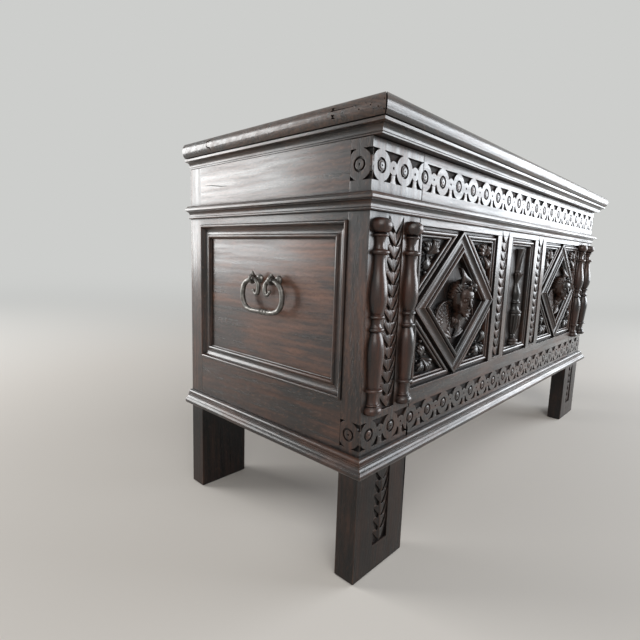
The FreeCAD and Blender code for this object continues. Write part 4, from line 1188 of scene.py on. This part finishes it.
def forge_studs(hand, at):
    """Two studs with an eye, a curled tip, a rose on the panel and a rivet behind it."""
    outward = X * ends[hand]
    pieces = []
    for side in (-1, 1):
        y = side * stud_spread
        rise = 4.5 if side > 0 else 1.5
        select_none()
        bpy.ops.mesh.primitive_torus_add(major_radius=7.3 * mm, minor_radius=2.8 * mm, major_segments=28,
                                         minor_segments=12, location=at(y, 0.6),
                                         rotation=(math.pi / 2, 0, 0))
        bpy.ops.object.transform_apply(location=True, rotation=True, scale=True)
        pieces.append(named("eye"))
        pieces.append(strand([at(y, 6, -2.5), at(y, 9 + rise * 0.3, 1.5), at(y, 11.5 + rise * 0.9, -0.5)],
                             [3.6 * mm, 3.9 * mm, 1.6 * mm]))
        pieces.append(strand([at(y, 0, -8), at(y, 0, -14), at(y, 0, -19.5)], [3.2 * mm, 3.4 * mm, 3.8 * mm]))
        pieces.append(egg(at(y, 0, -19), (9 * mm, 9 * mm, 6.6 * mm), outward))
        pieces.append(strand([at(y, 0, -19), at(y, 0, -25), at(y, 0, -30.2)], [3.4 * mm] * 3))
        pieces.append(egg(at(y, 0, -30.6), (6.2 * mm, 6.2 * mm, 2.2 * mm), outward))
    studs = grown_together("studs_forged_" + hand, pieces, voxel=0.7 * mm, passes=1)
    dress(studs, "wrought_iron", ["handle_studs_" + hand])


def build_handle(hand):
    """A bail hung from two riveted eyes."""
    low, high = limits("handle_studs_" + hand)
    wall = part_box("end_panel_" + hand)[0 if hand == "left" else 1][0]
    centre = Vector((wall + ends[hand] * handle_standoff, (low.y + high.y) / 2, (low.z + high.z) / 2))

    def at(y, z, out=0.0):
        return centre + Vector((ends[hand] * out, y, z)) * mm

    forge_bail(hand, at)
    forge_studs(hand, at)


def dress_hinges():
    """The hinges keep the frame's own shapes and get the iron's finish."""
    for node, thing in nodes.items():
        if node_slot[node] == "wrought_iron":
            thing.data.materials.clear()
            thing.data.materials.append(slot_finish["wrought_iron"])


# Studio

backdrop = colour(205, 206, 204)
lamp_aim = Vector((0, 0, 0.45))

# Place, width and height in metres, radiance and tint of each lamp
lamps = {
    "window_front": (Vector((3.3, -2.5, 1.5)), (3.8, 2.1), 6.5, (0.91, 0.95, 1.0)),
    "window_rear": (Vector((-2.5, 3.6, 1.45)), (2.5, 2.2), 8.5, (1.0, 0.995, 0.99)),
    "room": (Vector((-3.2, -3.0, 2.6)), (2.4, 2.4), 3.2, (1.0, 0.98, 0.95)),
    "ceiling": (Vector((-1.4, -1.8, 3.4)), (2.4, 2.4), 1.6, (1.0, 0.99, 0.97))}

camera_place = (-1.21603, -0.66549, 0.56186)
camera_right = Vector((0.68610544, -0.72680888, 0.03175166))
camera_above = Vector((0.08379843, 0.12230905, 0.98894809))
focal_length, film_width = 25.35, 36.0


def build_floor():
    """A pale floor that fades into the backdrop."""
    select_none()
    bpy.ops.mesh.primitive_circle_add(vertices=96, radius=14.0, fill_type="NGON", location=(0, 0, 0))
    floor = bpy.context.object
    floor.name = "studio_floor"
    f = Finish("studio_floor")
    distance = f.node("VectorMath", {"operation": "LENGTH"}, f.here(), out="Value")
    fade = f.node("Math", {"operation": "DIVIDE"}, 1.0, distance).between(0.09, 0.7, 1.0, 0.0)
    f.set(Base_Color=colour(218, 213, 206), Roughness=0.75)
    far = f.node("Emission", None, backdrop, 1.0)
    both = f.node("MixShader", None, fade * f.shows_background(), Socket(f, f.shader.outputs[0]), far)
    f.tree.links.new(both.socket, f.tree.nodes["Material Output"].inputs[0])
    floor.data.materials.append(f.material)


def build_sky():
    """A faint even light, with the backdrop's colour where it is seen."""
    world = bpy.data.worlds.new("studio")
    bpy.context.scene.world = world
    world.use_nodes = True
    sky = Nodes(world.node_tree)
    sky.tree.nodes.remove(sky.tree.nodes["Background"])
    lit = sky.node("Background", None, colour(222, 226, 232), 0.16)
    shown = sky.node("Background", None, backdrop, 1.0)
    either = sky.node("MixShader", None, sky.shows_background(), lit, shown)
    sky.tree.links.new(either.socket, sky.tree.nodes["World Output"].inputs[0])


def build_lamps():
    """Large soft lamps, each with its radiance spread over its own face."""
    for name, (place, (wide, high), radiance, tint) in lamps.items():
        lamp = bpy.data.lights.new(name, "AREA")
        lamp.shape = "RECTANGLE"
        lamp.size = wide
        lamp.size_y = high
        lamp.energy = radiance * math.pi * wide * high
        lamp.color = tint
        holder = bpy.data.objects.new(name, lamp)
        bpy.context.scene.collection.objects.link(holder)
        holder.location = place
        holder.rotation_euler = (lamp_aim - place).to_track_quat("-Z", "Y").to_euler()


def build_camera():
    """The camera that took the photograph, as it was solved from the chest's right angles."""
    lens = bpy.data.cameras.new("camera")
    lens.lens = focal_length
    lens.sensor_width = film_width
    camera = bpy.data.objects.new("camera", lens)
    bpy.context.scene.collection.objects.link(camera)
    back = camera_right.cross(camera_above)
    turn = Matrix((camera_right, camera_above, back)).transposed().to_4x4()
    camera.matrix_world = Matrix.Translation(camera_place) @ turn
    bpy.context.scene.camera = camera
    bpy.context.scene.view_settings.view_transform = "Standard"


build_floor()
build_sky()
build_lamps()
build_camera()
build_boards()
build_leaf_strips()
build_guilloche()
build_balusters()
build_urn()
build_centre_frame()
for hand in ends:
    build_lozenge(hand)
    build_sight_frames(hand)
    build_foliage(hand)
    build_winged_head(hand)
    build_end_frame(hand)
    build_handle(hand)
dress_hinges()
